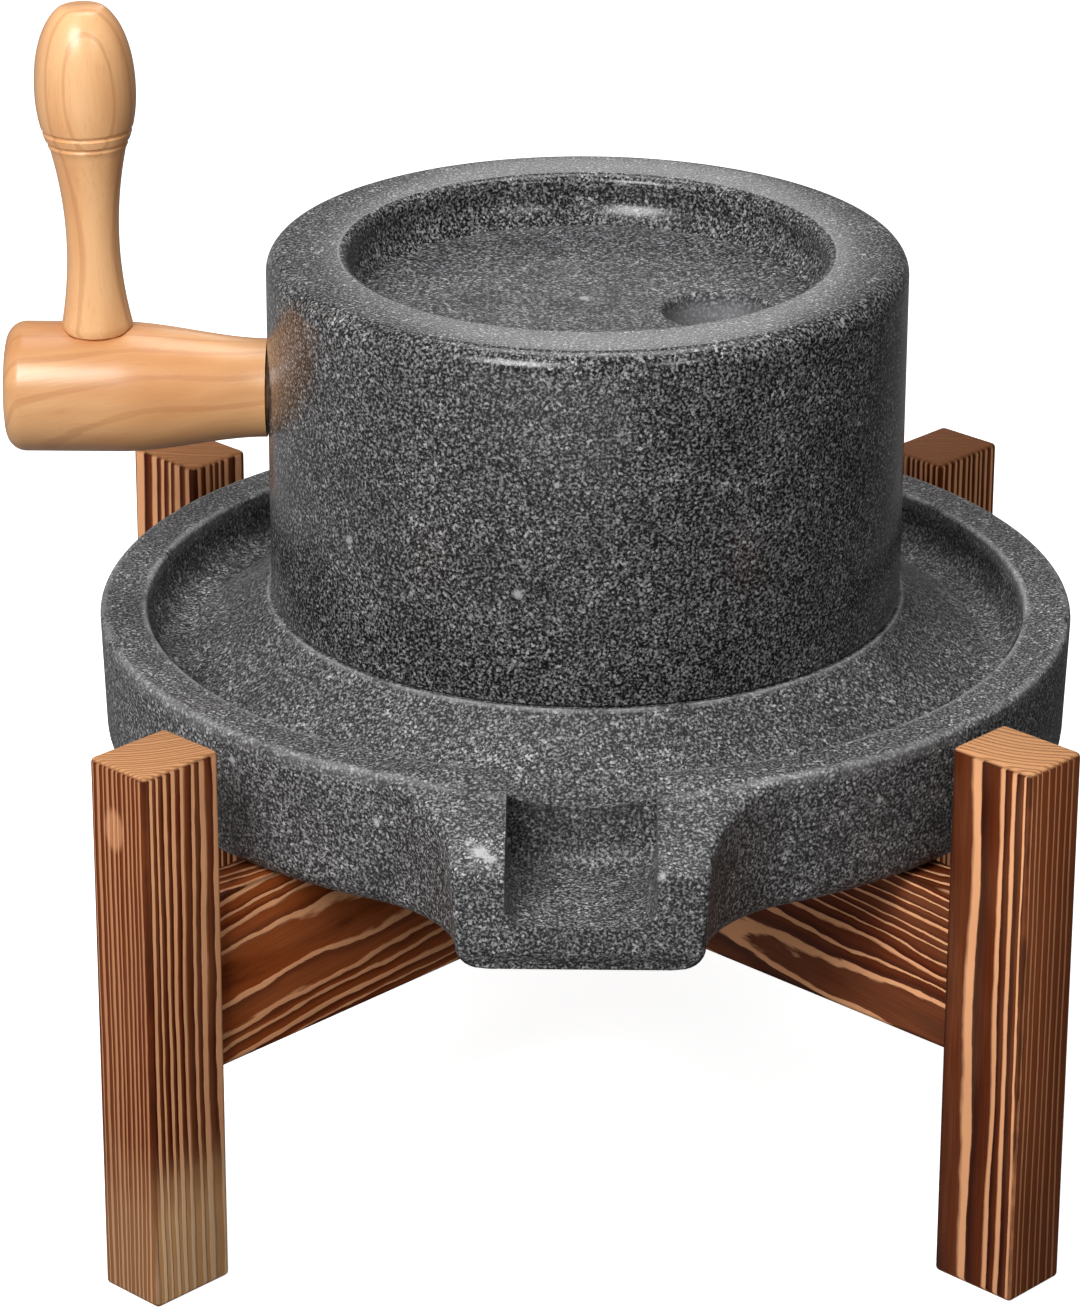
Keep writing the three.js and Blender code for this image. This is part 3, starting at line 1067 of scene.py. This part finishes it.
    def boss(self) -> Object:
        """The grinding boss with its hollow flank, and the short pivot on it."""
        root = self.trough_floor - self.trough_round
        profile = [(0, root), (self.flank_foot, root)]
        shoulder = self.boss_height - self.boss_arris
        foot = (self.flank_foot, self.trough_floor)
        profile += bezier(foot, self.flank_bend, (self.boss_radius, shoulder), 16)
        corner = (self.boss_radius - self.boss_arris, shoulder)
        profile += arc(corner, self.boss_arris, 0, 90, 4)[1:]
        pivot_top = self.boss_height + self.pivot_height
        profile += [
            (self.pivot_radius, self.boss_height),
            (self.pivot_radius, pivot_top - self.pivot_round),
            (self.pivot_radius - self.pivot_round, pivot_top),
            (0, pivot_top),
        ]
        return turned("boss", profile, self.facets)

    def channel_cutter(self) -> Object:
        """The square-cut pouring channel with hollow bottom corners."""
        top = self.rim_height + self.overrun
        front = self.spout_reach + self.overrun
        size = (2 * self.channel_half, front - self.channel_start, top - self.channel_floor)
        centre = (0, -(front + self.channel_start) / 2, (top + self.channel_floor) / 2)
        cutter = block("channel_cutter", centre, size)
        edit(cutter)
        low = self.channel_floor + WELD
        back = -self.spout_reach
        select_edges(cutter, lambda a, b: max(a.z, b.z) < low and max(a.y, b.y) > back)
        bpy.ops.mesh.bevel(offset=self.channel_round, segments=8, affect="EDGES")
        leave()
        return cutter

    def build(self) -> Object:
        """Carves the stone.

        Returns:
            The finished bed stone.
        """
        piece = self.blank()
        carve(piece, self.trough_cutter())
        carve(piece, self.channel_cutter())
        carve(piece, self.boss(), Cut.JOIN)
        piece.location = (*PLACES.axis, PLACES.bed_base)
        settle(piece)
        finish_surface(piece)
        return piece


@dataclass
class RunnerStone:
    """The polished granite drum with a dished top and its feed eye."""

    radius: float = 0.1296
    height: float = 0.1453
    top_round: float = 0.008
    foot: float = 0.0012
    dish_mouth: float = 0.0965
    dish_floor: float = 0.091
    dish_depth: float = 0.020
    dish_lip: float = 0.0045
    lip_end: float = 172
    lip_gap: float = 0.0006
    wall_bulge: float = 0.0022
    wall_foot: float = 0.0015
    eye_radius: float = 0.0218
    throat_radius: float = 0.013
    funnel_depth: float = 0.026
    eye_centre: Pair = (0.0525, -0.0165)
    eye_round: float = 0.0018
    socket_radius: float = 0.0153
    socket_depth: float = 0.044
    pivot_socket: Pair = (0.013, 0.0111)
    overrun: float = 0.002
    facets: int = 256

    def blank(self) -> Object:
        """The drum with its dish, off the lathe."""
        floor = self.height - self.dish_depth
        profile = [(0, 0), (self.radius - self.foot, 0)]
        profile += arc((self.radius - self.foot, self.foot), self.foot, -90, 0, 4)[1:]
        corner = (self.radius - self.top_round, self.height - self.top_round)
        profile += arc(corner, self.top_round, 0, 90, 14)
        lip_x = self.dish_mouth + self.dish_lip
        profile += arc((lip_x, self.height - self.dish_lip), self.dish_lip, 90, self.lip_end, 7)
        steps = 14
        wall_top = self.dish_depth - self.dish_lip - self.lip_gap
        for i in range(1, steps + 1):
            t = 1 - i / steps
            straight = self.dish_floor + (self.dish_mouth - self.dish_floor) * t
            hollow = self.wall_bulge * math.sin(math.pi * t)
            profile.append((straight + hollow, floor + wall_top * t))
        profile += [(self.dish_floor - self.wall_foot, floor), (0, floor)]
        return turned("runner_stone", profile, self.facets)

    def eye_cutter(self) -> Object:
        """The feed eye: a funnel with an eased mouth over a straight throat."""
        floor = self.height - self.dish_depth
        profile = [(0, -self.overrun), (self.throat_radius, -self.overrun)]
        profile += [(self.throat_radius, floor - self.funnel_depth)]
        mouth = (self.eye_radius + self.eye_round, floor - self.eye_round)
        profile += arc(mouth, self.eye_round, 180, 90, 6)
        profile += [(mouth[0], floor + self.overrun), (0, floor + self.overrun)]
        cutter = turned("eye_cutter", profile, 96)
        cutter.location = (*self.eye_centre, 0)
        settle(cutter)
        return cutter

    def socket_cutter(self, arm_height: float) -> Object:
        """The blind socket for the crank arm's tenon."""
        bpy.ops.object.select_all(action="DESELECT")
        length = self.socket_depth + self.overrun
        bpy.ops.mesh.primitive_cylinder_add(
            vertices=64,
            radius=self.socket_radius,
            depth=length,
            location=(self.socket_depth - self.radius - length / 2, 0, arm_height),
            rotation=(0, math.pi / 2, 0),
        )
        cutter = bpy.context.object
        settle(cutter)
        return cutter

    def build(self) -> Object:
        """Turns and bores the stone.

        Returns:
            The finished runner.
        """
        piece = self.blank()
        carve(piece, self.eye_cutter())
        carve(piece, self.socket_cutter(PLACES.arm_axis - PLACES.grinding_plane))
        radius, top = self.pivot_socket
        bottom = -self.overrun
        profile = [(0, bottom), (radius, bottom), (radius, top), (0, top)]
        carve(piece, turned("pivot_cutter", profile, 48))
        piece.location = (*PLACES.axis, PLACES.grinding_plane)
        settle(piece)
        finish_surface(piece)
        return piece


# ---- crank -------------------------------------------------------------------------------


@dataclass
class Grip:
    """The upright turned grip: egg-shaped knob, two grooves, waist and foot."""

    distance: float = 0.1985
    lean: float = math.radians(1.2)
    sink: float = 0.002
    arm_head: float = 0.0265
    foot_radius: float = 0.0137
    length: float = 0.1355
    waist_radius: float = 0.0107
    waist_at: float = 0.038
    waist_curve: float = 3.0
    knob_radius: float = 0.0203
    knob_at: float = 0.101
    knob_from: float = 0.076
    knob_below: float = 0.0365
    knob_above: float = 0.037
    grooves: Pair = (0.0801, 0.0851)
    groove_half: float = 0.0011
    groove_depth: float = 0.0009
    foot_round: float = 0.001
    body_from: float = 0.003
    body_end: float = 0.0009
    crown_drop: float = 0.0008
    crown_share: float = 0.86
    steps: Triple = (0.0003, 0.0007, 0.0016)
    tenon_radius: float = 0.008
    tenon_length: float = 0.022
    facets: int = 96

    def radius_at(self, height: float) -> float:
        """The grip's radius at a height above its foot."""
        if height < self.knob_from:
            radius = self.waist_radius + self.waist_curve * (height - self.waist_at) ** 2
        else:
            above = height > self.knob_at
            power = 2.2 if above else 2.0
            reach = self.knob_above if above else self.knob_below
            share = abs(height - self.knob_at) / reach
            radius = self.knob_radius * (1 - share**power) ** (1 / power)
        for groove in self.grooves:
            near = abs(height - groove) / self.groove_half
            if near < 1:
                radius -= self.groove_depth * (1 - near * near)
        return radius

    def set_on_arm(self, piece: Object) -> None:
        """Leans a piece and stands it on the arm."""
        piece.rotation_euler = (0, -self.lean, 0)
        x = PLACES.axis[0] - self.distance
        piece.location = (x, PLACES.axis[1], PLACES.arm_axis + self.arm_head - self.sink)
        settle(piece)

    def build(self) -> Object:
        """Turns the grip.

        Returns:
            The finished grip.
        """
        profile = [(0, -self.tenon_length), (self.tenon_radius, -self.tenon_length)]
        profile += [(self.tenon_radius, 0)]
        corner = (self.foot_radius - self.foot_round, self.foot_round)
        profile += arc(corner, self.foot_round, -90, 0, 4)
        fine, close, plain = self.steps
        height = self.body_from
        while height < self.length - self.body_end:
            profile.append((self.radius_at(height), height))
            near_groove = any(abs(height - each) < 2 * self.groove_half for each in self.grooves)
            near_top = height > self.length - 0.009
            height += fine if near_groove else close if near_top else plain
        crown_at = self.length - self.crown_drop
        crown = self.radius_at(crown_at)
        shoulder = (crown * self.crown_share, self.length - self.crown_drop / 4)
        profile += [(crown, crown_at), shoulder, (0, self.length)]
        piece = turned("grip", profile, self.facets)
        self.set_on_arm(piece)
        finish_surface(piece)
        return piece


@dataclass
class CrankArm:
    """The turned arm: a neck at the stone swelling to a barrel head."""

    neck_at: float = 0.1299
    reach: float = 0.2374
    neck_radius: float = 0.0201
    head_radius: float = 0.0265
    swell_length: float = 0.060
    end_round: float = 0.008
    end_dome: float = 0.0015
    end_flat: Pair = (0.009, 0.0004)
    tenon_radius: float = 0.015
    tenon_length: float = 0.042
    facets: int = 128

    def build(self, grip: Grip) -> Object:
        """Turns the arm and sinks a seat and a mortise for the grip.

        Args:
            grip: The grip that stands on it.

        Returns:
            The finished arm.
        """
        end = self.reach - self.end_dome
        tip = self.neck_at - self.tenon_length
        profile = [(0, tip), (self.tenon_radius, tip), (self.tenon_radius, self.neck_at)]
        steps = 26
        for i in range(steps + 1):
            t = i / steps
            swell = t * t * (3 - 2 * t)
            radius = self.neck_radius + (self.head_radius - self.neck_radius) * swell
            profile.append((radius, self.neck_at + self.swell_length * t))
        corner = (self.head_radius - self.end_round, end - self.end_round)
        profile += arc(corner, self.end_round, 0, 84, 12)
        flat_radius, flat_drop = self.end_flat
        profile += [(flat_radius, self.reach - flat_drop), (0, self.reach)]
        piece = turned("crank_arm", profile, self.facets)
        piece.rotation_euler = (0, -math.pi / 2, 0)
        piece.location = (*PLACES.axis, PLACES.arm_axis)
        settle(piece)
        seat_radius = grip.foot_radius + CLEARANCE
        hole_radius = grip.tenon_radius + CLEARANCE
        deep = -grip.tenon_length - 0.001
        seat = [(0, deep), (hole_radius, deep), (hole_radius, -CLEARANCE), (seat_radius, -CLEARANCE)]
        seat += [(seat_radius, 2 * grip.sink), (0, 2 * grip.sink)]
        cutter = turned("seat_cutter", seat, 96)
        grip.set_on_arm(cutter)
        carve(piece, cutter)
        finish_surface(piece)
        return piece


# ---- stand -------------------------------------------------------------------------------


@dataclass
class Stand:
    """Four square legs set corner-wise and two boards on edge that cross under the stone."""

    seat_height: float = 0.164
    leg_height: float = 0.229
    leg_width: float = 0.031
    leg_depth: float = 0.039
    leg_radius: float = 0.234
    leg_round: float = 0.002
    brace_thickness: float = 0.020
    brace_heights: Pair = (0.074, 0.068)
    brace_round: float = 0.001
    lap_depth: float = 0.034
    tenon: Triple = (0.015, 0.012, 0.040)

    def place(self, piece: Object, angle: float) -> None:
        """Turns a piece made along X into the stand.

        Args:
            piece: The piece, made about the stand's middle.
            angle: Its direction, in degrees.
        """
        piece.rotation_euler = (0, 0, math.radians(angle) + PLACES.stand_turn)
        piece.location = (*PLACES.stand_centre, 0)
        settle(piece)

    def tenon_block(self, at: float, extra: float) -> Object:
        """A stub tenon, or the cutter of its mortise, at a distance along X."""
        length, thickness, height = self.tenon
        centre = (at, 0, self.seat_height - self.brace_heights[1] / 2)
        size = (2 * (length + extra), thickness + 2 * extra, height + 2 * extra)
        return block("tenon", centre, size)

    def leg(self, name: str, angle: float) -> Object:
        """Saws, eases and mortises one leg."""
        centre = (self.leg_radius, 0, self.leg_height / 2)
        piece = block(name, centre, (self.leg_depth, self.leg_width, self.leg_height))
        edit(piece)
        bpy.ops.mesh.select_all(action="SELECT")
        bpy.ops.mesh.bevel(offset=self.leg_round, segments=3, affect="EDGES")
        leave()
        carve(piece, self.tenon_block(self.leg_radius - self.leg_depth / 2, CLEARANCE))
        self.place(piece, angle)
        finish_surface(piece)
        return piece

    def brace(self, name: str, height: float, angle: float, notch: Pair) -> Object:
        """Saws one board, with its half-lap and two stub tenons.

        Args:
            name: The piece's name.
            height: The board's height.
            angle: Its direction, in degrees.
            notch: The lowest and highest level of its half-lap.

        Returns:
            The finished board.
        """
        reach = self.leg_radius - self.leg_depth / 2 - CLEARANCE
        centre = (0, 0, self.seat_height - height / 2)
        piece = block(name, centre, (2 * reach, self.brace_thickness, height))
        edit(piece)
        bpy.ops.mesh.select_all(action="SELECT")
        bpy.ops.mesh.bevel(offset=self.brace_round, segments=2, affect="EDGES")
        leave()
        for side in (-1, 1):
            carve(piece, self.tenon_block(side * (reach + CLEARANCE), 0), Cut.JOIN)
        low, high = notch
        width = self.brace_thickness + 2 * CLEARANCE
        size = (width, 2 * self.brace_thickness, high - low)
        carve(piece, block("lap", (0, 0, (low + high) / 2), size))
        self.place(piece, angle)
        finish_surface(piece)
        return piece


# ---- studio ------------------------------------------------------------------------------


@dataclass(frozen=True)
class Lamp:
    """One soft rectangular light, its power in watts."""

    name: str
    place: Triple
    size: Pair
    power: float
    aim: Triple = (0.0, 0.0, 0.25)


LAMPS = (
    Lamp("key", (-0.80, -1.65, 1.75), (0.85, 1.00), 46.0),
    Lamp("second", (1.10, -1.65, 1.70), (0.45, 0.50), 7.0),
    Lamp("overhead", (0.05, 0.40, 1.75), (1.0, 0.8), 10.5),
    Lamp("back", (0.03, 2.1, 1.25), (0.30, 0.7), 1.25),
    Lamp("panel", (-0.35, -1.22, 0.02), (1.3, 0.72), 3.0, (-0.35, -1.22, 1.0)),
)


@dataclass
class Studio:
    """The camera, the pale floor and the soft lights."""

    camera_place: Triple = (0.0267, -2.045, 1.064)
    camera_yaw: float = math.radians(0.705)
    camera_pitch: float = math.radians(22.85)
    camera_roll: float = math.radians(0.2)
    lens: float = 147.84
    floor_size: float = 12.0
    floor_glow: float = 0.85
    sky_strength: float = 0.22
    sky_lean: float = 0.8

    def camera(self) -> None:
        """Sets the camera at the object's usual viewing angle."""
        data = bpy.data.cameras.new("camera")
        data.sensor_fit = "VERTICAL"
        data.sensor_height = 36.0
        data.lens = self.lens
        data.clip_start = 0.05
        data.clip_end = 60.0
        camera = bpy.data.objects.new("camera", data)
        bpy.context.scene.collection.objects.link(camera)
        turn = Matrix.Rotation(self.camera_yaw, 4, "Z")
        turn = turn @ Matrix.Rotation(math.pi / 2 - self.camera_pitch, 4, "X")
        turn = turn @ Matrix.Rotation(self.camera_roll, 4, "Z")
        camera.matrix_world = Matrix.Translation(self.camera_place) @ turn
        bpy.context.scene.camera = camera

    def floor(self) -> None:
        """Lays a plain pale floor."""
        bpy.ops.object.select_all(action="DESELECT")
        bpy.ops.mesh.primitive_plane_add(size=self.floor_size)
        floor = bpy.context.object
        floor.name = "floor"
        material = bpy.data.materials.new("floor")
        material.use_nodes = True
        shader = material.node_tree.nodes["Principled BSDF"]
        shader.inputs["Base Color"].default_value = (0.9, 0.9, 0.9, 1)
        shader.inputs["Roughness"].default_value = 0.9
        shader.inputs["Emission Color"].default_value = (1, 1, 1, 1)
        shader.inputs["Emission Strength"].default_value = self.floor_glow
        floor.data.materials.append(material)
        floor.visible_diffuse = False
        floor.visible_glossy = False

    def light(self, lamp: Lamp) -> None:
        """Adds one soft light."""
        data = bpy.data.lights.new(lamp.name, "AREA")
        data.shape = "RECTANGLE"
        data.size, data.size_y = lamp.size
        data.energy = lamp.power
        light = bpy.data.objects.new(lamp.name, data)
        bpy.context.scene.collection.objects.link(light)
        light.location = lamp.place
        way = Vector(lamp.aim) - Vector(lamp.place)
        light.rotation_euler = way.to_track_quat("-Z", "Y").to_euler()
        light.visible_camera = False

    def sky(self) -> None:
        """Surrounds the scene with white, and lights the object with a weaker share of it."""
        world = bpy.data.worlds.new("studio")
        world.use_nodes = True
        w = Wiring(world.node_tree)
        seen = w.node("ShaderNodeLightPath").outputs["Is Camera Ray"]
        side, _, _ = w.parts(w.node("ShaderNodeTexCoord").outputs["Generated"])
        lean = w.rest(w.math("MULTIPLY", side, self.sky_lean))
        share = w.math("MULTIPLY", lean, self.sky_strength)
        background = world.node_tree.nodes["Background"]
        background.inputs["Color"].default_value = (1, 1, 1, 1)
        w.put(background.inputs["Strength"], w.math("MAXIMUM", seen, share))
        bpy.context.scene.world = world

    def build(self) -> None:
        """Sets up the whole studio."""
        self.camera()
        self.floor()
        for lamp in LAMPS:
            self.light(lamp)
        self.sky()
        scene = bpy.context.scene
        scene.view_settings.view_transform = "Standard"
        scene.view_settings.look = "None"


# ---- finishes ----------------------------------------------------------------------------


def wood_turn(along: Vector, side: Vector) -> Triple:
    """The turn of a frame whose X runs along the grain and whose Y points to a side."""
    up = along.cross(side)
    return tuple(Matrix((along, side, up)).transposed().to_euler())


def side_chips(radius: float, places: Sequence[Triple]) -> tuple[Chip, ...]:
    """Chips on the side of a round stone.

    Args:
        radius: The stone's radius.
        places: The angle in degrees, the height and the size of each chip.

    Returns:
        The chips.
    """
    chips = []
    for angle, height, size in places:
        turn = math.radians(angle)
        chips.append(Chip((radius * math.cos(turn), radius * math.sin(turn), height), size))
    return tuple(chips)


def build_bed() -> tuple[Object, GraniteFinish]:
    """Builds the bed stone and plans its finish."""
    stone = BedStone()
    side = ((-113.3, 0.0381, 0.0030), (-133.1, 0.0468, 0.0026), (-54.9, 0.0400, 0.0026))
    # The three marks on the left cheek are a painted highlight, a pale patch standing in for the sheen
    # on the sloping cheek top; the one on the right cheek is a chip.
    cheek_chips_and_glint = (
        Chip((-0.0381, -0.2245, 0.0447), 0.0060),
        Chip((-0.0342, -0.2279, 0.0422), 0.0050),
        Chip((-0.0419, -0.2203, 0.0477), 0.0035),
        Chip((0.0303, -0.2362, 0.0405), 0.0030),
    )
    rim = stone.rim_height - 0.0006
    # Level of the painted shade in the trough's corner, at the foot of the rim wall.
    trough_shade_level = stone.trough_floor + 0.004
    finish = GraniteFinish(
        name="granite_honed",
        base=(*PLACES.axis, PLACES.bed_base),
        ground=(0.016, 0.016, 0.017, 1),
        grey=(0.36, 0.36, 0.367, 1),
        white=(0.56, 0.56, 0.57, 1),
        roughness=0.50,
        relief=0.00022,
        chips=side_chips(stone.tray_radius, side) + cheek_chips_and_glint,
        rings=(
            # Painted highlight: a pale line along the boss's arris, standing in for the light it
            # catches just under the runner.
            Ring(stone.boss_radius - 0.0006, 0.0012, stone.boss_height, 0.004, 0.5),
            # Painted shade: a dark band in the trough's corner, where the rim wall shades the floor.
            Ring(stone.trough_radius - 0.0015, 0.0075, trough_shade_level, 0.016, -0.6),
            # Painted highlights: pale lines along the rim's inner and outer arrises, standing in for
            # their specular glints.
            Ring(stone.trough_radius + 0.001, 0.0022, rim, 0.006, 0.45),
            Ring(stone.tray_radius - 0.0012, 0.0028, rim, 0.006, 0.30),
        ),
    )
    return stone.build(), finish


def build_runner() -> tuple[Object, GraniteFinish]:
    """Builds the runner stone and plans its finish."""
    stone = RunnerStone()
    floor = stone.height - stone.dish_depth
    side = ((-101.4, 0.0467, 0.0034), (-135.8, 0.0541, 0.0034), (-94.7, 0.0929, 0.0020))
    middle = (Chip((-0.001, -0.003, floor), 0.0042), Chip((-0.005, 0.0244, floor), 0.0018))
    eye = stone.eye_radius + stone.eye_round
    finish = GraniteFinish(
        name="granite_polished",
        base=(*PLACES.axis, PLACES.grinding_plane),
        ground=(0.006, 0.006, 0.0065, 1),
        grey=(0.30, 0.30, 0.308, 1),
        white=(0.44, 0.44, 0.45, 1),
        roughness=0.19,
        roughness_spread=0.06,
        relief=0.00003,
        chips=middle + side_chips(stone.radius, side),
        bores=(
            Bore((0.0, 0.0), stone.dish_floor + 0.001, floor + 0.0004, 0.001, 0.0),
            Bore(stone.eye_centre, eye, floor - 0.0004, 0.03, 0.6),
        ),
    )
    return stone.build(), finish


def build_stones(effects: Effects) -> None:
    """Builds and dresses the two stones."""
    bed, honed = build_bed()
    hand_over(bed, "bed_stone", Body.BASE, honed.material(effects))
    drum, polished = build_runner()
    hand_over(drum, "runner_stone", Body.RUNNER, polished.material(effects))


def build_crank(effects: Effects) -> None:
    """Builds and dresses the crank arm and its grip."""
    grip = Grip()
    axis_x, axis_y = PLACES.axis
    front = Vector((0, -1, 0))
    arm_wood = PaleWoodFinish(
        name="turned_wood_arm",
        timber=Timber(
            centre=(axis_x - 0.19, axis_y, PLACES.arm_axis),
            turn=wood_turn(Vector((-1, 0, 0)), front),
            pith=(0.0, -0.012, 0.020),
            tilt=(0.0, math.radians(8), math.radians(5)),
            spacing=0.0075,
            uneven=1.2,
        ),
    )
    grip_wood = PaleWoodFinish(
        name="turned_wood_grip",
        timber=Timber(
            centre=(axis_x - grip.distance, axis_y, PLACES.arm_axis + 0.08),
            turn=wood_turn(Vector((0, 0, 1)), front),
            pith=(0.0, 0.04, 0.01),
            tilt=(0.0, math.radians(4), 0.0),
            spacing=0.009,
            uneven=1.2,
        ),
        light=(0.94, 0.53, 0.25, 1),
        deep=(0.80, 0.39, 0.16, 1),
        lathe_lines=0.5,
    )
    arm = CrankArm().build(grip)
    hand_over(arm, "crank_arm", Body.RUNNER, arm_wood.material(effects))
    hand_over(grip.build(), "grip", Body.RUNNER, grip_wood.material(effects))


@dataclass(frozen=True)
class Plan:
    """One leg or board of the stand: its direction in degrees, its sawing and its own colours; on the
    front left board these carry painted light.
    """

    name: str
    angle: float
    pith: Triple
    spacing: float
    look: dict


LEGS = (
    Plan(
        "leg_front_left",
        225,
        (0.0, -0.035, -0.060),
        0.0019,
        {"fade_from": 0.060, "knot": (0.088, 0.0195, -0.002)},
    ),
    Plan(
        "leg_front_right",
        315,
        (0.0, -0.025, 0.060),
        0.0029,
        {
            "line_width": 0.36,
            "worn": (0.42, 0.11, 0.035, 1),
            "brown": (0.14, 0.026, 0.004, 1),
            "dark": (0.035, 0.004, 0.0005, 1),
        },
    ),
    Plan(
        "leg_back_left",
        135,
        (0.0, 0.050, -0.070),
        0.0030,
        {"end_grain": (0.40, 0.17, 0.07, 1)},
    ),
    Plan(
        "leg_back_right",
        45,
        (0.0, -0.045, -0.055),
        0.0026,
        {"end_grain": (0.24, 0.085, 0.035, 1)},
    ),
)
BRACES = (
    Plan(
        "brace_front_left",
        225,
        (0.0, -0.035, 0.016),
        0.0031,
        {
            "line_width": 0.36,
            # Painted light: brown and dark are lighter than on the other board, standing in for light
            # this board catches though the stone shades it.
            "brown": (0.36, 0.078, 0.015, 1),
            "dark": (0.16, 0.028, 0.004, 1),
        },
    ),
    Plan(
        "brace_front_right",
        315,
        (0.0, 0.030, -0.010),
        0.0034,
        {"line_width": 0.28, "brown": (0.16, 0.030, 0.006, 1)},
    ),
)


def build_stand(effects: Effects) -> None:
    """Builds and dresses the legs and the braces."""
    stand = Stand()
    centre = Vector((*PLACES.stand_centre, 0))
    up = Vector((0, 0, 1))

    def outwards(plan: Plan) -> Vector:
        """The direction of a leg or a board."""
        turn = math.radians(plan.angle) + PLACES.stand_turn
        return Vector((math.cos(turn), math.sin(turn), 0))

    for plan in LEGS:
        out = outwards(plan)
        finish = CharredWoodFinish(
            name=f"charred_{plan.name}",
            timber=Timber(
                centre=tuple(centre + out * stand.leg_radius + up * stand.leg_height / 2),
                turn=wood_turn(up, out),
                pith=plan.pith,
                spacing=plan.spacing,
                wander=0.004,
            ),
            half=(stand.leg_height / 2, stand.leg_depth / 2, stand.leg_width / 2),
            outer_wear=0.5,
            **plan.look,
        )
        leg = stand.leg(plan.name, plan.angle)
        hand_over(leg, plan.name, Body.BASE, finish.material(effects))

    lap = stand.seat_height - stand.lap_depth
    notches = ((lap, stand.seat_height + 0.01), (0.0, lap + CLEARANCE))
    for plan, height, notch in zip(BRACES, stand.brace_heights, notches):
        out = outwards(plan)
        reach = stand.leg_radius - stand.leg_depth / 2
        finish = CharredWoodFinish(
            name=f"charred_{plan.name}",
            timber=Timber(
                centre=tuple(centre + up * (stand.seat_height - height / 2)),
                turn=wood_turn(out, up.cross(out)),
                pith=plan.pith,
                tilt=(0.0, math.radians(5), 0.0),
                spacing=plan.spacing,
                wander=0.014,
            ),
            half=(reach, stand.brace_thickness / 2, height / 2),
            **plan.look,
        )
        board = stand.brace(plan.name, height, plan.angle, notch)
        hand_over(board, plan.name, Body.BASE, finish.material(effects))


def main() -> None:
    """Builds the studio and the whole quern."""
    logging.basicConfig(level=logging.INFO, format="%(name)s: %(message)s")
    Studio().build()
    effects = Effects()
    build_stones(effects)
    build_crank(effects)
    build_stand(effects)


if __name__ == "__main__":
    main()
